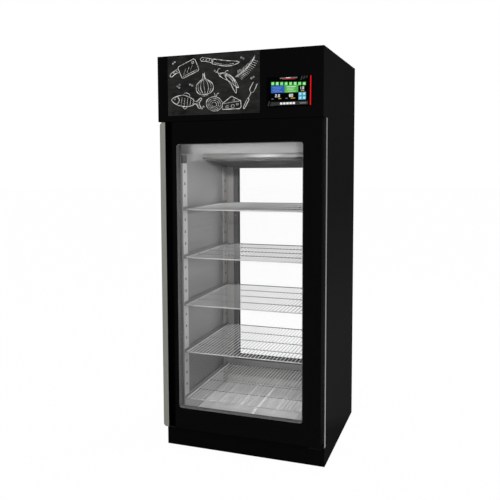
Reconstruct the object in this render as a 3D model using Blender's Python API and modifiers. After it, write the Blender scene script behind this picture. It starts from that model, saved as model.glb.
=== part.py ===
"""Upright glass-door dry aging cabinet, in metres, +Z up, front towards -Y.

The origin is the middle of the footprint, on the floor. X is 0 on the cabinet's centre plane.
"""

import math

import bmesh
import bpy
from mathutils import Matrix, Vector

# Overall sizes
CABINET_WIDTH = 0.865
CABINET_HEIGHT = 2.080
BODY_DEPTH = 0.813
FRONT_REACH = 0.070

# Shared sheet, gap and overrun
SHEET = 0.0012
FOLD_SHEET = 0.0015
GAP = 0.0003
OVERRUN = 0.004
FLOOR_CLEARANCE = 0.004

# Door
DOOR_BOTTOM_Z = 0.125
DOOR_HEAD_GAP = 0.0024
DOOR_SIDE_INSET = 0.0075
DOOR_THICKNESS = 0.0485
DOOR_CORNER_RADIUS = 0.003
PANE_THICKNESS = 0.004
INNER_PANE_SETBACK = 0.008
WINDOW_SIDE_MARGIN = 0.099
WINDOW_BOTTOM_MARGIN = 0.111
WINDOW_TOP_MARGIN = 0.113
WINDOW_CORNER_RADIUS = 0.014
HANDLE_LIP_WIDTH = 0.0325
HANDLE_GRIP_WIDTH = 0.037
HANDLE_WALL = 0.003
HANDLE_LIP_WALL = 0.005
HANDLE_END_RADIUS = 0.018
HANDLE_CAP_THICKNESS = 0.004
HANDLE_CAP_SETBACK = 0.010
GASKET_WIDTH = 0.022

# Hinge
HINGE_SIDE_INSET = 0.0325
HINGE_SETBACK = 0.0245
PIN_RADIUS = 0.005
PIN_CLEARANCE = 0.0003
PIN_DEPTH = 0.022
PIN_HOLE_END_CLEARANCE = 0.003
COLLAR_RADIUS = 0.009
BRACKET_THICKNESS = 0.010
BRACKET_DROP = 0.003
BRACKET_LENGTH = 0.070
BRACKET_REACH = 0.020
BRACKET_SIDE_INSET = 0.0025

# Front frame and door reveal
FRAME_PROUD = 0.008
FRAME_FLANGE_DEPTH = 0.033
FRAME_BOTTOM_Z = 0.100
FRAME_STILE_WIDTH = 0.0725
FRAME_SILL_HEIGHT = 0.104
FRAME_HEAD_HEIGHT = 0.0924
REVEAL_THICKNESS = 0.003
REVEAL_END_Y = 0.0532
SIDE_PANEL_START = 0.045

# Header
HEADER_HEIGHT = 0.3326
BOARD_THICKNESS = 0.0012
BOARD_SIDE_MARGIN = 0.0575
BOARD_TOP_MARGIN = 0.004
BOARD_BOTTOM_MARGIN = 0.0296
BOARD_TO_DISPLAY = 0.035
DISPLAY_SIDE_MARGIN = 0.0545
DISPLAY_WIDTH = 0.226
DISPLAY_TOP_MARGIN = 0.135
DISPLAY_BOTTOM_MARGIN = 0.0526
CONTROLLER_MARGIN = 0.015
CONTROLLER_DEPTH = 0.045

# Inner compartment
REAR_WALL = 0.049
INNER_FLOOR_Z = 0.130
CEILING_OVER_LINTEL = 0.010
VALANCE_HEIGHT = 0.082
LAMP_WIDTH = 0.020
LAMP_HEIGHT = 0.012
LAMP_SETBACK = 0.008
LAMP_SIDE_INSET = 0.030

# Slotted uprights
UPRIGHT_WIDTH = 0.0605
UPRIGHT_DEPTH = 0.008
UPRIGHT_REAR_INSET = 0.0085
UPRIGHT_BOTTOM_INSET = 0.010
FRONT_UPRIGHT_DROP = 0.1325
REAR_UPRIGHT_DROP = 0.165
SLOT_GAPS = 20
SLOT_WIDTH = 0.006
SLOT_HEIGHT = 0.013
TOP_SLOT_DROP = 0.0435
LOW_SLOT_RISE = 0.049
SLOT_OFFSET = 0.006

# Wire shelves and their rails
SHELF_COUNT = 5
SHELF_STEP_SLOTS = 4
LOWEST_SHELF_RISE = 0.115
SHELF_SIDE_GAP = 0.015
SHELF_FRONT_GAP = 0.0025
SHELF_REAR_GAP = 0.007
SHELF_BAR = 0.006
SHELF_BAYS = 4
SHELF_ROD = 0.0026
SHELF_ROD_PITCH = 0.0151
SHELF_ROD_SEAT = 0.003
RAIL_LEDGE = 0.015
RAIL_RISE = 0.015

# Evaporator
COVER_DEPTH = 0.397
COVER_NOSE_DROP = 0.079
COVER_NOSE_HEIGHT = 0.030
COVER_NOSE_SETBACK = 0.014
COVER_FRONT_LEAN = 0.030
COVER_REAR_GAP = 0.004
COVER_REAR_DROP = 0.157
COVER_SIDE_GAP = 0.0005
EVAPORATOR_FAN_TO_REAR = 0.215
EVAPORATOR_FAN_RADIUS = 0.095
EVAPORATOR_FAN_THICKNESS = 0.018
EVAPORATOR_FAN_DROP = 0.097
FAN_TIP_CLEARANCE = 0.005
HUB_RADIUS = 0.022
SHAFT_RADIUS = 0.004
SHAFT_CLEARANCE = 0.0003
MOTOR_RADIUS = 0.030
MOTOR_LENGTH = 0.022
STRUT_WIDTH = 0.006
BLADE_COUNT = 5
BLADE_THICKNESS = 0.002
BLADE_CHORD = 0.045
BLADE_PITCH_DEGREES = 22
FAN_SETBACK = 0.0015
EVAPORATOR_COIL_REAR_GAP = 0.025
EVAPORATOR_COIL_DEPTH = 0.080
EVAPORATOR_COIL_SIDE_GAP = 0.060
EVAPORATOR_COIL_DROP = 0.130

# Rear window
REAR_WINDOW_SIDE_MARGIN = 0.076
REAR_WINDOW_RISE = 0.175
REAR_WINDOW_DROP = 0.160
REAR_FRAME_WIDTH = 0.0272
REAR_PANEL_LAP = 0.006
REAR_GLASS_THICKNESS = 0.006
REAR_GLASS_SETBACK = 0.020

# Machine compartment
DECK_THICKNESS = 0.0015
COMPRESSOR_SIDE_INSET = 0.2225
COMPRESSOR_REAR_INSET = 0.383
COMPRESSOR_RADIUS = 0.088
COMPRESSOR_HEIGHT = 0.200
COMPRESSOR_FOOT_HEIGHT = 0.018
COMPRESSOR_FOOT_SPREAD = 0.085
COMPRESSOR_FOOT_RADIUS = 0.014
COMPRESSOR_FOOT_SEGMENTS = 12
COMPRESSOR_PLATE = 0.003
CONDENSER_SIDE_INSET = 0.2825
CONDENSER_REAR_INSET = 0.087
CONDENSER_WIDTH = 0.340
CONDENSER_DEPTH = 0.066
CONDENSER_HEIGHT = 0.270
CONDENSER_END_PLATE = 0.003
CONDENSER_FIN_PITCH = 0.0225
CONDENSER_FIN = 0.002
CONDENSER_CORE_INSET = 0.012
CONDENSER_FAN_RADIUS = 0.115
CONDENSER_FAN_THICKNESS = 0.022
SHROUD_DEPTH = 0.060
VENT_COUNT = 9
VENT_HEIGHT = 0.008
VENT_PITCH = 0.024
VENT_RISE = 0.0676
VENT_INNER_X = 0.030
VENT_SIDE_MARGIN = 0.0825

# Base
PAN_Z = 0.040
PAN_THICKNESS = 0.005
FOOT_RADIUS = 0.024
FOOT_DISC_HEIGHT = 0.010
FOOT_STEM_RADIUS = 0.008
FOOT_INSET_X = 0.070
FOOT_INSET_Y = 0.070

ROUND_SEGMENTS = 24
CORNER_SEGMENTS = 4
SHARP_EDGE_DEGREES = 30

# Shares
COMPRESSOR_PROFILE_SHARES = ((0.0, 1.0), (0.45, 0.985), (0.78, 0.90), (0.95, 0.74), (1.0, 0.60), (1.0, 0.20),
                             (0.93, 0.08), (0.70, 0.02), (0.0, 0.0))

# Finishes: colour, roughness, metallic
FINISHES = {
    "black_lacquer": ((0.008, 0.008, 0.009), 0.35, 0.0),
    "black_plastic": ((0.012, 0.012, 0.013), 0.55, 0.0),
    "stainless": ((0.52, 0.53, 0.53), 0.32, 1.0),
    "anodised_grey": ((0.28, 0.275, 0.25), 0.40, 1.0),
    "grey_plastic": ((0.075, 0.075, 0.075), 0.5, 0.0),
    "galvanised": ((0.38, 0.39, 0.40), 0.45, 1.0),
    "foam": ((0.03, 0.03, 0.03), 0.9, 0.0),
    "glass": ((0.9, 0.95, 0.93), 0.03, 0.0),
    "chalkboard": ((0.02, 0.02, 0.021), 0.8, 0.0),
    "screen": ((0.01, 0.01, 0.012), 0.12, 0.0),
    "lamp": ((0.95, 0.96, 1.0), 0.3, 0.0),
    "aluminium": ((0.60, 0.61, 0.62), 0.4, 1.0),
    "rubber": ((0.02, 0.02, 0.02), 0.8, 0.0),
}

# Places worked out from the sizes above
half_width = CABINET_WIDTH / 2
front_y = -(BODY_DEPTH + FRONT_REACH) / 2
body_y = front_y + FRONT_REACH
rear_y = body_y + BODY_DEPTH
skin_x = half_width - SHEET
skin_rear_y = rear_y - SHEET
frame_y = body_y - FRAME_PROUD
reveal_end_y = body_y + REVEAL_END_Y
inner_rear_y = rear_y - REAR_WALL
header_bottom_z = CABINET_HEIGHT - HEADER_HEIGHT
opening_x = half_width - FRAME_STILE_WIDTH
sill_z = FRAME_BOTTOM_Z + FRAME_SILL_HEIGHT
lintel_z = header_bottom_z - FRAME_HEAD_HEIGHT
ceiling_z = lintel_z + CEILING_OVER_LINTEL
door_top_z = header_bottom_z - DOOR_HEAD_GAP
door_left_x = -half_width + DOOR_SIDE_INSET
door_right_x = half_width - DOOR_SIDE_INSET
door_back_y = front_y + DOOR_THICKNESS
grip_left_x = door_left_x + HANDLE_LIP_WIDTH
grip_right_x = grip_left_x + HANDLE_GRIP_WIDTH
hinge_x = half_width - HINGE_SIDE_INSET
hinge_y = front_y + HINGE_SETBACK
deck_top_z = header_bottom_z + DECK_THICKNESS
fascia_y = front_y + BOARD_THICKNESS + GAP
web_x = opening_x - UPRIGHT_DEPTH
sill_outer_z = sill_z - REVEAL_THICKNESS
lintel_outer_z = lintel_z + REVEAL_THICKNESS
opening_outer_x = opening_x + REVEAL_THICKNESS
rear_window_x = opening_x - REAR_WINDOW_SIDE_MARGIN
rear_window_bottom_z = INNER_FLOOR_Z + REAR_WINDOW_RISE
rear_window_top_z = ceiling_z - REAR_WINDOW_DROP
rear_frame_x = rear_window_x + REAR_FRAME_WIDTH
rear_frame_bottom_z = rear_window_bottom_z - REAR_FRAME_WIDTH
rear_frame_top_z = rear_window_top_z + REAR_FRAME_WIDTH
AXES = {"X": Vector((1, 0, 0)), "Y": Vector((0, 1, 0)), "Z": Vector((0, 0, 1))}


for old in list(bpy.data.objects):
    bpy.data.objects.remove(old, do_unlink=True)

parts = bpy.data.collections.new("dry_aging_cabinet")
cutters = bpy.data.collections.new("cutters")
bpy.context.scene.collection.children.link(parts)
bpy.context.scene.collection.children.link(cutters)


# Helpers

def paint(obj, finish):
    colour, roughness, metallic = FINISHES[finish]
    material = bpy.data.materials.new(obj.name + "_finish")
    material.use_nodes = True
    shader = material.node_tree.nodes["Principled BSDF"]
    shader.inputs["Base Color"].default_value = (*colour, 1.0)
    shader.inputs["Roughness"].default_value = roughness
    shader.inputs["Metallic"].default_value = metallic
    obj.data.materials.append(material)


def add_object(name, mesh, finish):
    """Puts a mesh in the scene: as a part if it has a finish, or else as a cutter."""
    obj = bpy.data.objects.new(name, mesh)
    (parts if finish else cutters).objects.link(obj)
    if finish:
        paint(obj, finish)
    else:
        obj.hide_render = True
        obj.display_type = "WIRE"
    return obj


def mesh_of(bm, name):
    mesh = bpy.data.meshes.new(name)
    bm.to_mesh(mesh)
    bm.free()
    return mesh


def box_mesh(name, boxes):
    """One mesh that holds a box for each pair of corners."""
    bm = bmesh.new()
    for low, high in boxes:
        middle = (Vector(low) + Vector(high)) / 2
        size = Vector(high) - Vector(low)
        bmesh.ops.create_cube(bm, size=1, matrix=Matrix.Translation(middle) @ Matrix.Diagonal((*size, 1)))
    return mesh_of(bm, name)


def box(name, low, high, finish=None):
    """A box whose origin is its own middle."""
    middle = (Vector(low) + Vector(high)) / 2
    obj = add_object(name, box_mesh(name, [(Vector(low) - middle, Vector(high) - middle)]), finish)
    obj.location = middle
    return obj


def rounded_box(name, low, high, axis, radius, finish=None):
    """A box whose four edges along one axis are rounded."""
    obj = box(name, low, high, finish)
    bm = bmesh.new()
    bm.from_mesh(obj.data)
    along = []
    for edge in bm.edges:
        direction = (edge.verts[1].co - edge.verts[0].co).normalized()
        if abs(direction.dot(AXES[axis])) > math.cos(math.pi / 4):
            along.append(edge)
    bmesh.ops.bevel(bm, geom=along, offset=radius, segments=CORNER_SEGMENTS, profile=0.5, affect="EDGES")
    bm.to_mesh(obj.data)
    bm.free()
    return obj


def cylinder(name, centre, radius, length, axis, finish=None, segments=ROUND_SEGMENTS):
    turn = {"X": Matrix.Rotation(math.pi / 2, 4, "Y"), "Y": Matrix.Rotation(math.pi / 2, 4, "X"),
            "Z": Matrix.Identity(4)}[axis]
    bm = bmesh.new()
    bmesh.ops.create_cone(bm, cap_ends=True, segments=segments, radius1=radius, radius2=radius, depth=length,
                          matrix=turn)
    obj = add_object(name, mesh_of(bm, name), finish)
    obj.location = centre
    return obj


def profile(name, outline, axis, start, end, finish=None):
    """A flat outline drawn out along an axis: (y, z) points along X, (x, z) along Y, (x, y) along Z."""
    curve = bpy.data.curves.new(name, "CURVE")
    curve.dimensions = "2D"
    curve.fill_mode = "BOTH"
    curve.extrude = (end - start) / 2
    spline = curve.splines.new("POLY")
    spline.points.add(len(outline) - 1)
    for point, (u, v) in zip(spline.points, outline):
        point.co = (u, v, 0, 1)
    spline.use_cyclic_u = True
    drawn = bpy.data.objects.new(name, curve)
    cutters.objects.link(drawn)
    drawn.matrix_world = {
        "X": Matrix(((0, 0, 1, 0), (1, 0, 0, 0), (0, 1, 0, 0), (0, 0, 0, 1))),
        "Y": Matrix(((1, 0, 0, 0), (0, 0, -1, 0), (0, 1, 0, 0), (0, 0, 0, 1))),
        "Z": Matrix.Identity(4),
    }[axis]
    drawn.matrix_world.translation = AXES[axis] * (start + end) / 2
    placed = drawn.matrix_world.copy()
    bpy.context.view_layer.update()
    mesh = bpy.data.meshes.new_from_object(drawn.evaluated_get(bpy.context.evaluated_depsgraph_get()))
    bpy.data.objects.remove(drawn, do_unlink=True)
    bm = bmesh.new()
    bm.from_mesh(mesh)
    bmesh.ops.remove_doubles(bm, verts=bm.verts, dist=GAP / 10)
    bmesh.ops.recalc_face_normals(bm, faces=bm.faces)
    bm.to_mesh(mesh)
    bm.free()
    mesh.materials.clear()
    obj = add_object(name, mesh, finish)
    obj.matrix_world = placed
    return obj


def combine(obj, other, operation):
    """A live Boolean: DIFFERENCE cuts the other away, UNION joins it on. The other becomes a cutter."""
    if other.name in parts.objects:
        parts.objects.unlink(other)
        cutters.objects.link(other)
    other.hide_render = True
    other.display_type = "WIRE"
    modifier = obj.modifiers.new(f"{operation.lower()}_{other.name}"[:60], "BOOLEAN")
    modifier.operation = operation
    modifier.object = other
    modifier.solver = "EXACT"
    return obj


def cut(obj, *others):
    for other in others:
        combine(obj, other, "DIFFERENCE")
    return obj


def join(obj, *others):
    for other in others:
        combine(obj, other, "UNION")
    return obj


def baked(obj):
    """The mesh of an object with its modifiers applied."""
    bpy.context.view_layer.update()
    return bpy.data.meshes.new_from_object(obj.evaluated_get(bpy.context.evaluated_depsgraph_get()))


def smooth(obj):
    obj.data.shade_smooth()
    obj.data.set_sharp_from_angle(angle=math.radians(SHARP_EDGE_DEGREES))
    return obj


def pivot(name, place):
    """An empty on a joint's axis, which carries the pieces that turn with it."""
    empty = bpy.data.objects.new(name, None)
    parts.objects.link(empty)
    empty.location = place
    return empty


def carry(empty, *objects):
    bpy.context.view_layer.update()
    for obj in objects:
        obj.parent = empty
        obj.matrix_parent_inverse = empty.matrix_world.inverted()


# Outer casing: side panels, a rear panel with the window opening and vents, a lid, a base pan and a plinth

panel_top_z = CABINET_HEIGHT - SHEET - GAP
side_start_y = body_y + SIDE_PANEL_START
for side, name in ((-1, "side_panel_left"), (1, "side_panel_right")):
    inner, outer = side * skin_x, side * half_width
    box(name, (min(inner, outer), side_start_y, FLOOR_CLEARANCE),
        (max(inner, outer), skin_rear_y - GAP, panel_top_z), "black_lacquer")

rear_panel = box("rear_panel", (-half_width, skin_rear_y, FLOOR_CLEARANCE), (half_width, rear_y, panel_top_z),
                 "black_lacquer")
rear_cut_x = rear_window_x + REAR_PANEL_LAP
rear_cut_bottom_z = rear_window_bottom_z - REAR_PANEL_LAP
rear_cut_top_z = rear_window_top_z + REAR_PANEL_LAP
cut(rear_panel, box("rear_panel_window", (-rear_cut_x, skin_rear_y - OVERRUN, rear_cut_bottom_z),
                    (rear_cut_x, rear_y + OVERRUN, rear_cut_top_z)))
vent_outer_x = half_width - VENT_SIDE_MARGIN
vents = []
for row in range(VENT_COUNT):
    vent_z = header_bottom_z + VENT_RISE + row * VENT_PITCH
    for low_x, high_x in ((-vent_outer_x, -VENT_INNER_X), (VENT_INNER_X, vent_outer_x)):
        vents.append(((low_x, skin_rear_y - OVERRUN, vent_z),
                      (high_x, rear_y + OVERRUN, vent_z + VENT_HEIGHT)))
cut(rear_panel, add_object("rear_panel_vents", box_mesh("rear_panel_vents", vents), None))

box("top_panel", (-half_width, front_y, CABINET_HEIGHT - SHEET), (half_width, rear_y, CABINET_HEIGHT),
    "black_lacquer")

box("base_pan", (-skin_x + GAP, body_y + FOLD_SHEET + GAP, PAN_Z),
    (skin_x - GAP, skin_rear_y - GAP, PAN_Z + PAN_THICKNESS), "galvanised")

plinth_top_z = FRAME_BOTTOM_Z - GAP
plinth = box("plinth", (-half_width, body_y, FLOOR_CLEARANCE), (half_width, side_start_y - GAP, plinth_top_z),
             "black_lacquer")
cut(plinth, box("plinth_hollow", (-half_width + FOLD_SHEET, body_y + FOLD_SHEET, -OVERRUN),
                (half_width - FOLD_SHEET, side_start_y + OVERRUN, plinth_top_z + OVERRUN)))

for end, foot_y in (("front", body_y + FOOT_INSET_Y), ("rear", rear_y - FOOT_INSET_Y)):
    for side, foot_x in (("left", -half_width + FOOT_INSET_X), ("right", half_width - FOOT_INSET_X)):
        name = f"levelling_foot_{end}_{side}"
        foot = cylinder(name, (foot_x, foot_y, FOOT_DISC_HEIGHT / 2), FOOT_RADIUS, FOOT_DISC_HEIGHT, "Z",
                        "black_plastic")
        stem_top_z = PAN_Z - GAP
        join(foot, cylinder(name + "_stem", (foot_x, foot_y, stem_top_z / 2 + FOOT_DISC_HEIGHT / 4),
                            FOOT_STEM_RADIUS, stem_top_z - FOOT_DISC_HEIGHT / 2, "Z"))

# Insulated shell: foam, the five stainless liners, the front frame and the plastic reveal

foam_half = half_width - FOLD_SHEET - GAP
foam_bottom_z = PAN_Z + PAN_THICKNESS + GAP
foam_top_z = header_bottom_z - GAP
foam_front_y = frame_y + FOLD_SHEET + GAP
cavity_x = opening_x + SHEET + GAP
insulation = box("insulation", (-foam_half, foam_front_y, foam_bottom_z),
                 (foam_half, skin_rear_y - GAP, foam_top_z), "foam")
mouth_x = opening_outer_x + GAP
cut(insulation,
    box("insulation_cavity", (-cavity_x, reveal_end_y, INNER_FLOOR_Z - SHEET - GAP),
        (cavity_x, inner_rear_y + SHEET + GAP, ceiling_z + SHEET + GAP)),
    box("insulation_mouth", (-mouth_x, foam_front_y - OVERRUN, sill_outer_z - GAP),
        (mouth_x, reveal_end_y + OVERRUN, lintel_outer_z + GAP)),
    box("insulation_rear_window", (-rear_frame_x - GAP, inner_rear_y, rear_frame_bottom_z - GAP),
        (rear_frame_x + GAP, rear_y + OVERRUN, rear_frame_top_z + GAP)),
    box("insulation_plinth_room", (-half_width, foam_front_y - OVERRUN, foam_bottom_z - OVERRUN),
        (half_width, body_y + FOLD_SHEET + GAP, FRAME_BOTTOM_Z)))

liner_front_y = reveal_end_y + GAP
for side, name in ((-1, "liner_left"), (1, "liner_right")):
    inner, outer = side * opening_x, side * (opening_x + SHEET)
    box(name, (min(inner, outer), liner_front_y, INNER_FLOOR_Z + GAP),
        (max(inner, outer), inner_rear_y - GAP, ceiling_z - GAP), "stainless")
liner_x = opening_x + SHEET
box("liner_floor", (-liner_x, liner_front_y, INNER_FLOOR_Z - SHEET),
    (liner_x, inner_rear_y + SHEET, INNER_FLOOR_Z), "stainless")
box("liner_ceiling", (-liner_x, liner_front_y, ceiling_z),
    (liner_x, inner_rear_y + SHEET, ceiling_z + SHEET), "stainless")
liner_rear = box("liner_rear", (-liner_x, inner_rear_y, INNER_FLOOR_Z + GAP),
                 (liner_x, inner_rear_y + SHEET, ceiling_z - GAP), "stainless")
cut(liner_rear,
    box("liner_rear_window", (-rear_frame_x - GAP, inner_rear_y - OVERRUN, rear_frame_bottom_z - GAP),
        (rear_frame_x + GAP, inner_rear_y + OVERRUN, rear_frame_top_z + GAP)))

front_frame = box("front_frame", (-half_width, frame_y, FRAME_BOTTOM_Z),
                  (half_width, frame_y + FRAME_FLANGE_DEPTH, header_bottom_z - GAP), "stainless")
cut(front_frame,
    box("front_frame_hollow", (-half_width + FOLD_SHEET, frame_y + FOLD_SHEET, FRAME_BOTTOM_Z - OVERRUN),
        (half_width - FOLD_SHEET, frame_y + FRAME_FLANGE_DEPTH + OVERRUN, CABINET_HEIGHT)),
    box("front_frame_opening", (-opening_x, frame_y - OVERRUN, sill_z),
        (opening_x, frame_y + OVERRUN, lintel_z)))

breaker_frame = box("breaker_frame", (-opening_outer_x, foam_front_y, sill_outer_z),
                    (opening_outer_x, reveal_end_y, lintel_outer_z), "grey_plastic")
cut(breaker_frame, box("breaker_frame_opening", (-opening_x, foam_front_y - OVERRUN, sill_z),
                       (opening_x, reveal_end_y + OVERRUN, lintel_z)))

# Rear window: a plastic frame through the wall, with one pane

window_frame_y = inner_rear_y
window_frame = box("rear_window_frame", (-rear_frame_x, window_frame_y, rear_frame_bottom_z),
                   (rear_frame_x, skin_rear_y - GAP, rear_frame_top_z), "grey_plastic")
cut(window_frame, box("rear_window_frame_opening",
                      (-rear_window_x, window_frame_y - OVERRUN, rear_window_bottom_z),
                      (rear_window_x, rear_y + OVERRUN, rear_window_top_z)))
rear_glass_y = window_frame_y + REAR_GLASS_SETBACK
box("rear_window_glass", (-rear_window_x + GAP, rear_glass_y, rear_window_bottom_z + GAP),
    (rear_window_x - GAP, rear_glass_y + REAR_GLASS_THICKNESS, rear_window_top_z - GAP), "glass")

# Header: a folded fascia with the chalkboard and the touch display on its face

fascia_top_z = panel_top_z
fascia = box("header_fascia", (-half_width, fascia_y, header_bottom_z),
             (half_width, side_start_y - GAP, fascia_top_z), "black_lacquer")
fascia_inner_x = half_width - FOLD_SHEET
return_y = frame_y - GAP
cut(fascia,
    box("header_fascia_hollow", (-fascia_inner_x, fascia_y + FOLD_SHEET, header_bottom_z + FOLD_SHEET),
        (fascia_inner_x, side_start_y + OVERRUN, CABINET_HEIGHT)),
    box("header_fascia_rear", (-fascia_inner_x, return_y, header_bottom_z - OVERRUN),
        (fascia_inner_x, side_start_y + OVERRUN, header_bottom_z + 2 * FOLD_SHEET)),
    cylinder("header_fascia_pin_hole", (hinge_x, hinge_y, header_bottom_z), COLLAR_RADIUS + GAP,
             2 * OVERRUN, "Z"))

face_low_y, face_high_y = front_y, front_y + BOARD_THICKNESS
display_right_x = half_width - DISPLAY_SIDE_MARGIN
display_left_x = display_right_x - DISPLAY_WIDTH
display_bottom_z = header_bottom_z + DISPLAY_BOTTOM_MARGIN
display_top_z = CABINET_HEIGHT - DISPLAY_TOP_MARGIN
box("header_board", (-half_width + BOARD_SIDE_MARGIN, face_low_y, header_bottom_z + BOARD_BOTTOM_MARGIN),
    (display_left_x - BOARD_TO_DISPLAY, face_high_y, CABINET_HEIGHT - BOARD_TOP_MARGIN), "chalkboard")
box("display_screen", (display_left_x, face_low_y, display_bottom_z),
    (display_right_x, face_high_y, display_top_z), "screen")
controller_y = fascia_y + FOLD_SHEET + GAP
box("controller_box", (display_left_x + CONTROLLER_MARGIN, controller_y, display_bottom_z + CONTROLLER_MARGIN),
    (display_right_x - CONTROLLER_MARGIN, controller_y + CONTROLLER_DEPTH, display_top_z - CONTROLLER_MARGIN),
    "black_plastic")

# Valance behind the top of the door, and the lamp that it hides

valance_x = opening_x - GAP
ceiling_seat_z = ceiling_z - GAP
box("valance", (-valance_x, liner_front_y, ceiling_z - VALANCE_HEIGHT),
    (valance_x, liner_front_y + SHEET, ceiling_seat_z), "stainless")
lamp_y = liner_front_y + SHEET + LAMP_SETBACK
lamp_x = opening_x - LAMP_SIDE_INSET
rounded_box("led_strip", (-lamp_x, lamp_y, ceiling_seat_z - LAMP_HEIGHT),
            (lamp_x, lamp_y + LAMP_WIDTH, ceiling_seat_z), "X", LAMP_HEIGHT / 4, "lamp")

# Slotted uprights, folded from sheet, that carry the shelf rails

upright_low_z = INNER_FLOOR_Z + UPRIGHT_BOTTOM_INSET
front_upright_top_z = ceiling_z - FRONT_UPRIGHT_DROP
rear_upright_top_z = ceiling_z - REAR_UPRIGHT_DROP
top_slot_z = front_upright_top_z - TOP_SLOT_DROP
slot_pitch = (top_slot_z - upright_low_z - LOW_SLOT_RISE) / SLOT_GAPS


def upright(name, side, low_y, top_z):
    """A channel whose web faces the middle of the cabinet, with a row of slots at the shelf pitch."""
    web, back = side * web_x, side * (opening_x - GAP)
    obj = box(name, (min(web, back), low_y, upright_low_z), (max(web, back), low_y + UPRIGHT_WIDTH, top_z),
              "stainless")
    inner = side * (web_x + FOLD_SHEET)
    beyond = side * (opening_x + OVERRUN)
    cut(obj, box(name + "_hollow", (min(inner, beyond), low_y + FOLD_SHEET, upright_low_z - OVERRUN),
                 (max(inner, beyond), low_y + UPRIGHT_WIDTH - FOLD_SHEET, top_z + OVERRUN)))
    slot_y = low_y + UPRIGHT_WIDTH / 2 - SLOT_OFFSET
    slots = []
    for row in range(SLOT_GAPS + 1):
        slot_z = top_slot_z - row * slot_pitch
        if slot_z + SLOT_HEIGHT > top_z:
            continue
        slots.append(((min(web, inner) - GAP, slot_y - SLOT_WIDTH / 2, slot_z - SLOT_HEIGHT / 2),
                      (max(web, inner) + GAP, slot_y + SLOT_WIDTH / 2, slot_z + SLOT_HEIGHT / 2)))
    cut(obj, add_object(name + "_slots", box_mesh(name + "_slots", slots), None))
    return obj


front_upright_y = liner_front_y + SHEET + GAP
rear_upright_y = inner_rear_y - UPRIGHT_REAR_INSET - UPRIGHT_WIDTH
for side, word in ((-1, "left"), (1, "right")):
    upright(f"upright_front_{word}", side, front_upright_y, front_upright_top_z)
    upright(f"upright_rear_{word}", side, rear_upright_y, rear_upright_top_z)

# Wire shelves, each on two angle rails

shelf_x = opening_x - SHELF_SIDE_GAP
shelf_low_y = liner_front_y + SHELF_FRONT_GAP
shelf_high_y = inner_rear_y - SHELF_REAR_GAP
bar_half = SHELF_BAR / 2
rod_span = shelf_x - SHELF_BAR
rod_count = round(2 * rod_span / SHELF_ROD_PITCH) - 1
rod_pitch = 2 * rod_span / (rod_count + 1)
bay_step = (shelf_high_y - shelf_low_y - SHELF_BAR) / SHELF_BAYS

grid = box("shelf_grid", (-shelf_x, shelf_low_y, -bar_half), (shelf_x, shelf_high_y, bar_half))
bays = []
for bay in range(SHELF_BAYS):
    bay_y = shelf_low_y + SHELF_BAR + bay * bay_step
    bays.append(((-rod_span, bay_y, -OVERRUN), (rod_span, bay_y + bay_step - SHELF_BAR, OVERRUN)))
cut(grid, add_object("shelf_bays", box_mesh("shelf_bays", bays), None),
    box("shelf_cross_bar_drop", (-rod_span, shelf_low_y + SHELF_BAR, -GAP),
        (rod_span, shelf_high_y - SHELF_BAR, OVERRUN)))
rods = []
for rod in range(rod_count):
    rod_x = -rod_span + (rod + 1) * rod_pitch
    rods.append(((rod_x - SHELF_ROD / 2, shelf_low_y + SHELF_ROD_SEAT, GAP / 2),
                 (rod_x + SHELF_ROD / 2, shelf_high_y - SHELF_ROD_SEAT, GAP / 2 + SHELF_ROD)))
join(grid, add_object("shelf_rods", box_mesh("shelf_rods", rods), None))
shelf_mesh = baked(grid)

rail_x = web_x - GAP
ledge_top = -bar_half - GAP
rail_outline = [(0, ledge_top - FOLD_SHEET), (RAIL_LEDGE, ledge_top - FOLD_SHEET), (RAIL_LEDGE, ledge_top),
                (FOLD_SHEET, ledge_top), (FOLD_SHEET, RAIL_RISE), (0, RAIL_RISE)]
for level in range(SHELF_COUNT):
    shelf_z = INNER_FLOOR_Z + LOWEST_SHELF_RISE + level * SHELF_STEP_SLOTS * slot_pitch
    shelf = add_object(f"wire_shelf_{level + 1}", shelf_mesh.copy(), "stainless")
    shelf.location = (0, (shelf_low_y + shelf_high_y) / 2, shelf_z)
    for side, word in ((-1, "left"), (1, "right")):
        points = [(side * (rail_x - u), shelf_z + v) for u, v in rail_outline]
        profile(f"shelf_rail_{word}_{level + 1}", points, "Y", shelf_low_y, shelf_high_y, "stainless")

# Evaporator under the ceiling: cover with its fan ring and motor, coil and fan

cover_x = opening_x - COVER_SIDE_GAP
cover_rear_y = inner_rear_y - COVER_REAR_GAP
nose_y = cover_rear_y - COVER_DEPTH
straight_y = nose_y + COVER_NOSE_SETBACK
nose_half = COVER_NOSE_HEIGHT / 2
nose_centre_z = ceiling_z - COVER_NOSE_DROP - nose_half
cover_nose_bottom_z = nose_centre_z - nose_half
cover_rear_bottom_z = ceiling_z - COVER_REAR_DROP


def cover_outline(inset, top_z):
    """The cover's side view, drawn in by the inset, from the rear bottom corner round the rounded nose."""
    points = [(cover_rear_y - inset, cover_rear_bottom_z + inset)]
    for step in range(CORNER_SEGMENTS * 2 + 1):
        angle = -math.pi / 2 - step * math.pi / (CORNER_SEGMENTS * 2)
        points.append((straight_y + (COVER_NOSE_SETBACK - inset) * math.cos(angle),
                       nose_centre_z + (nose_half - inset) * math.sin(angle)))
    points += [(straight_y + COVER_FRONT_LEAN, top_z), (cover_rear_y - inset, top_z)]
    return points[::-1]


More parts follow.
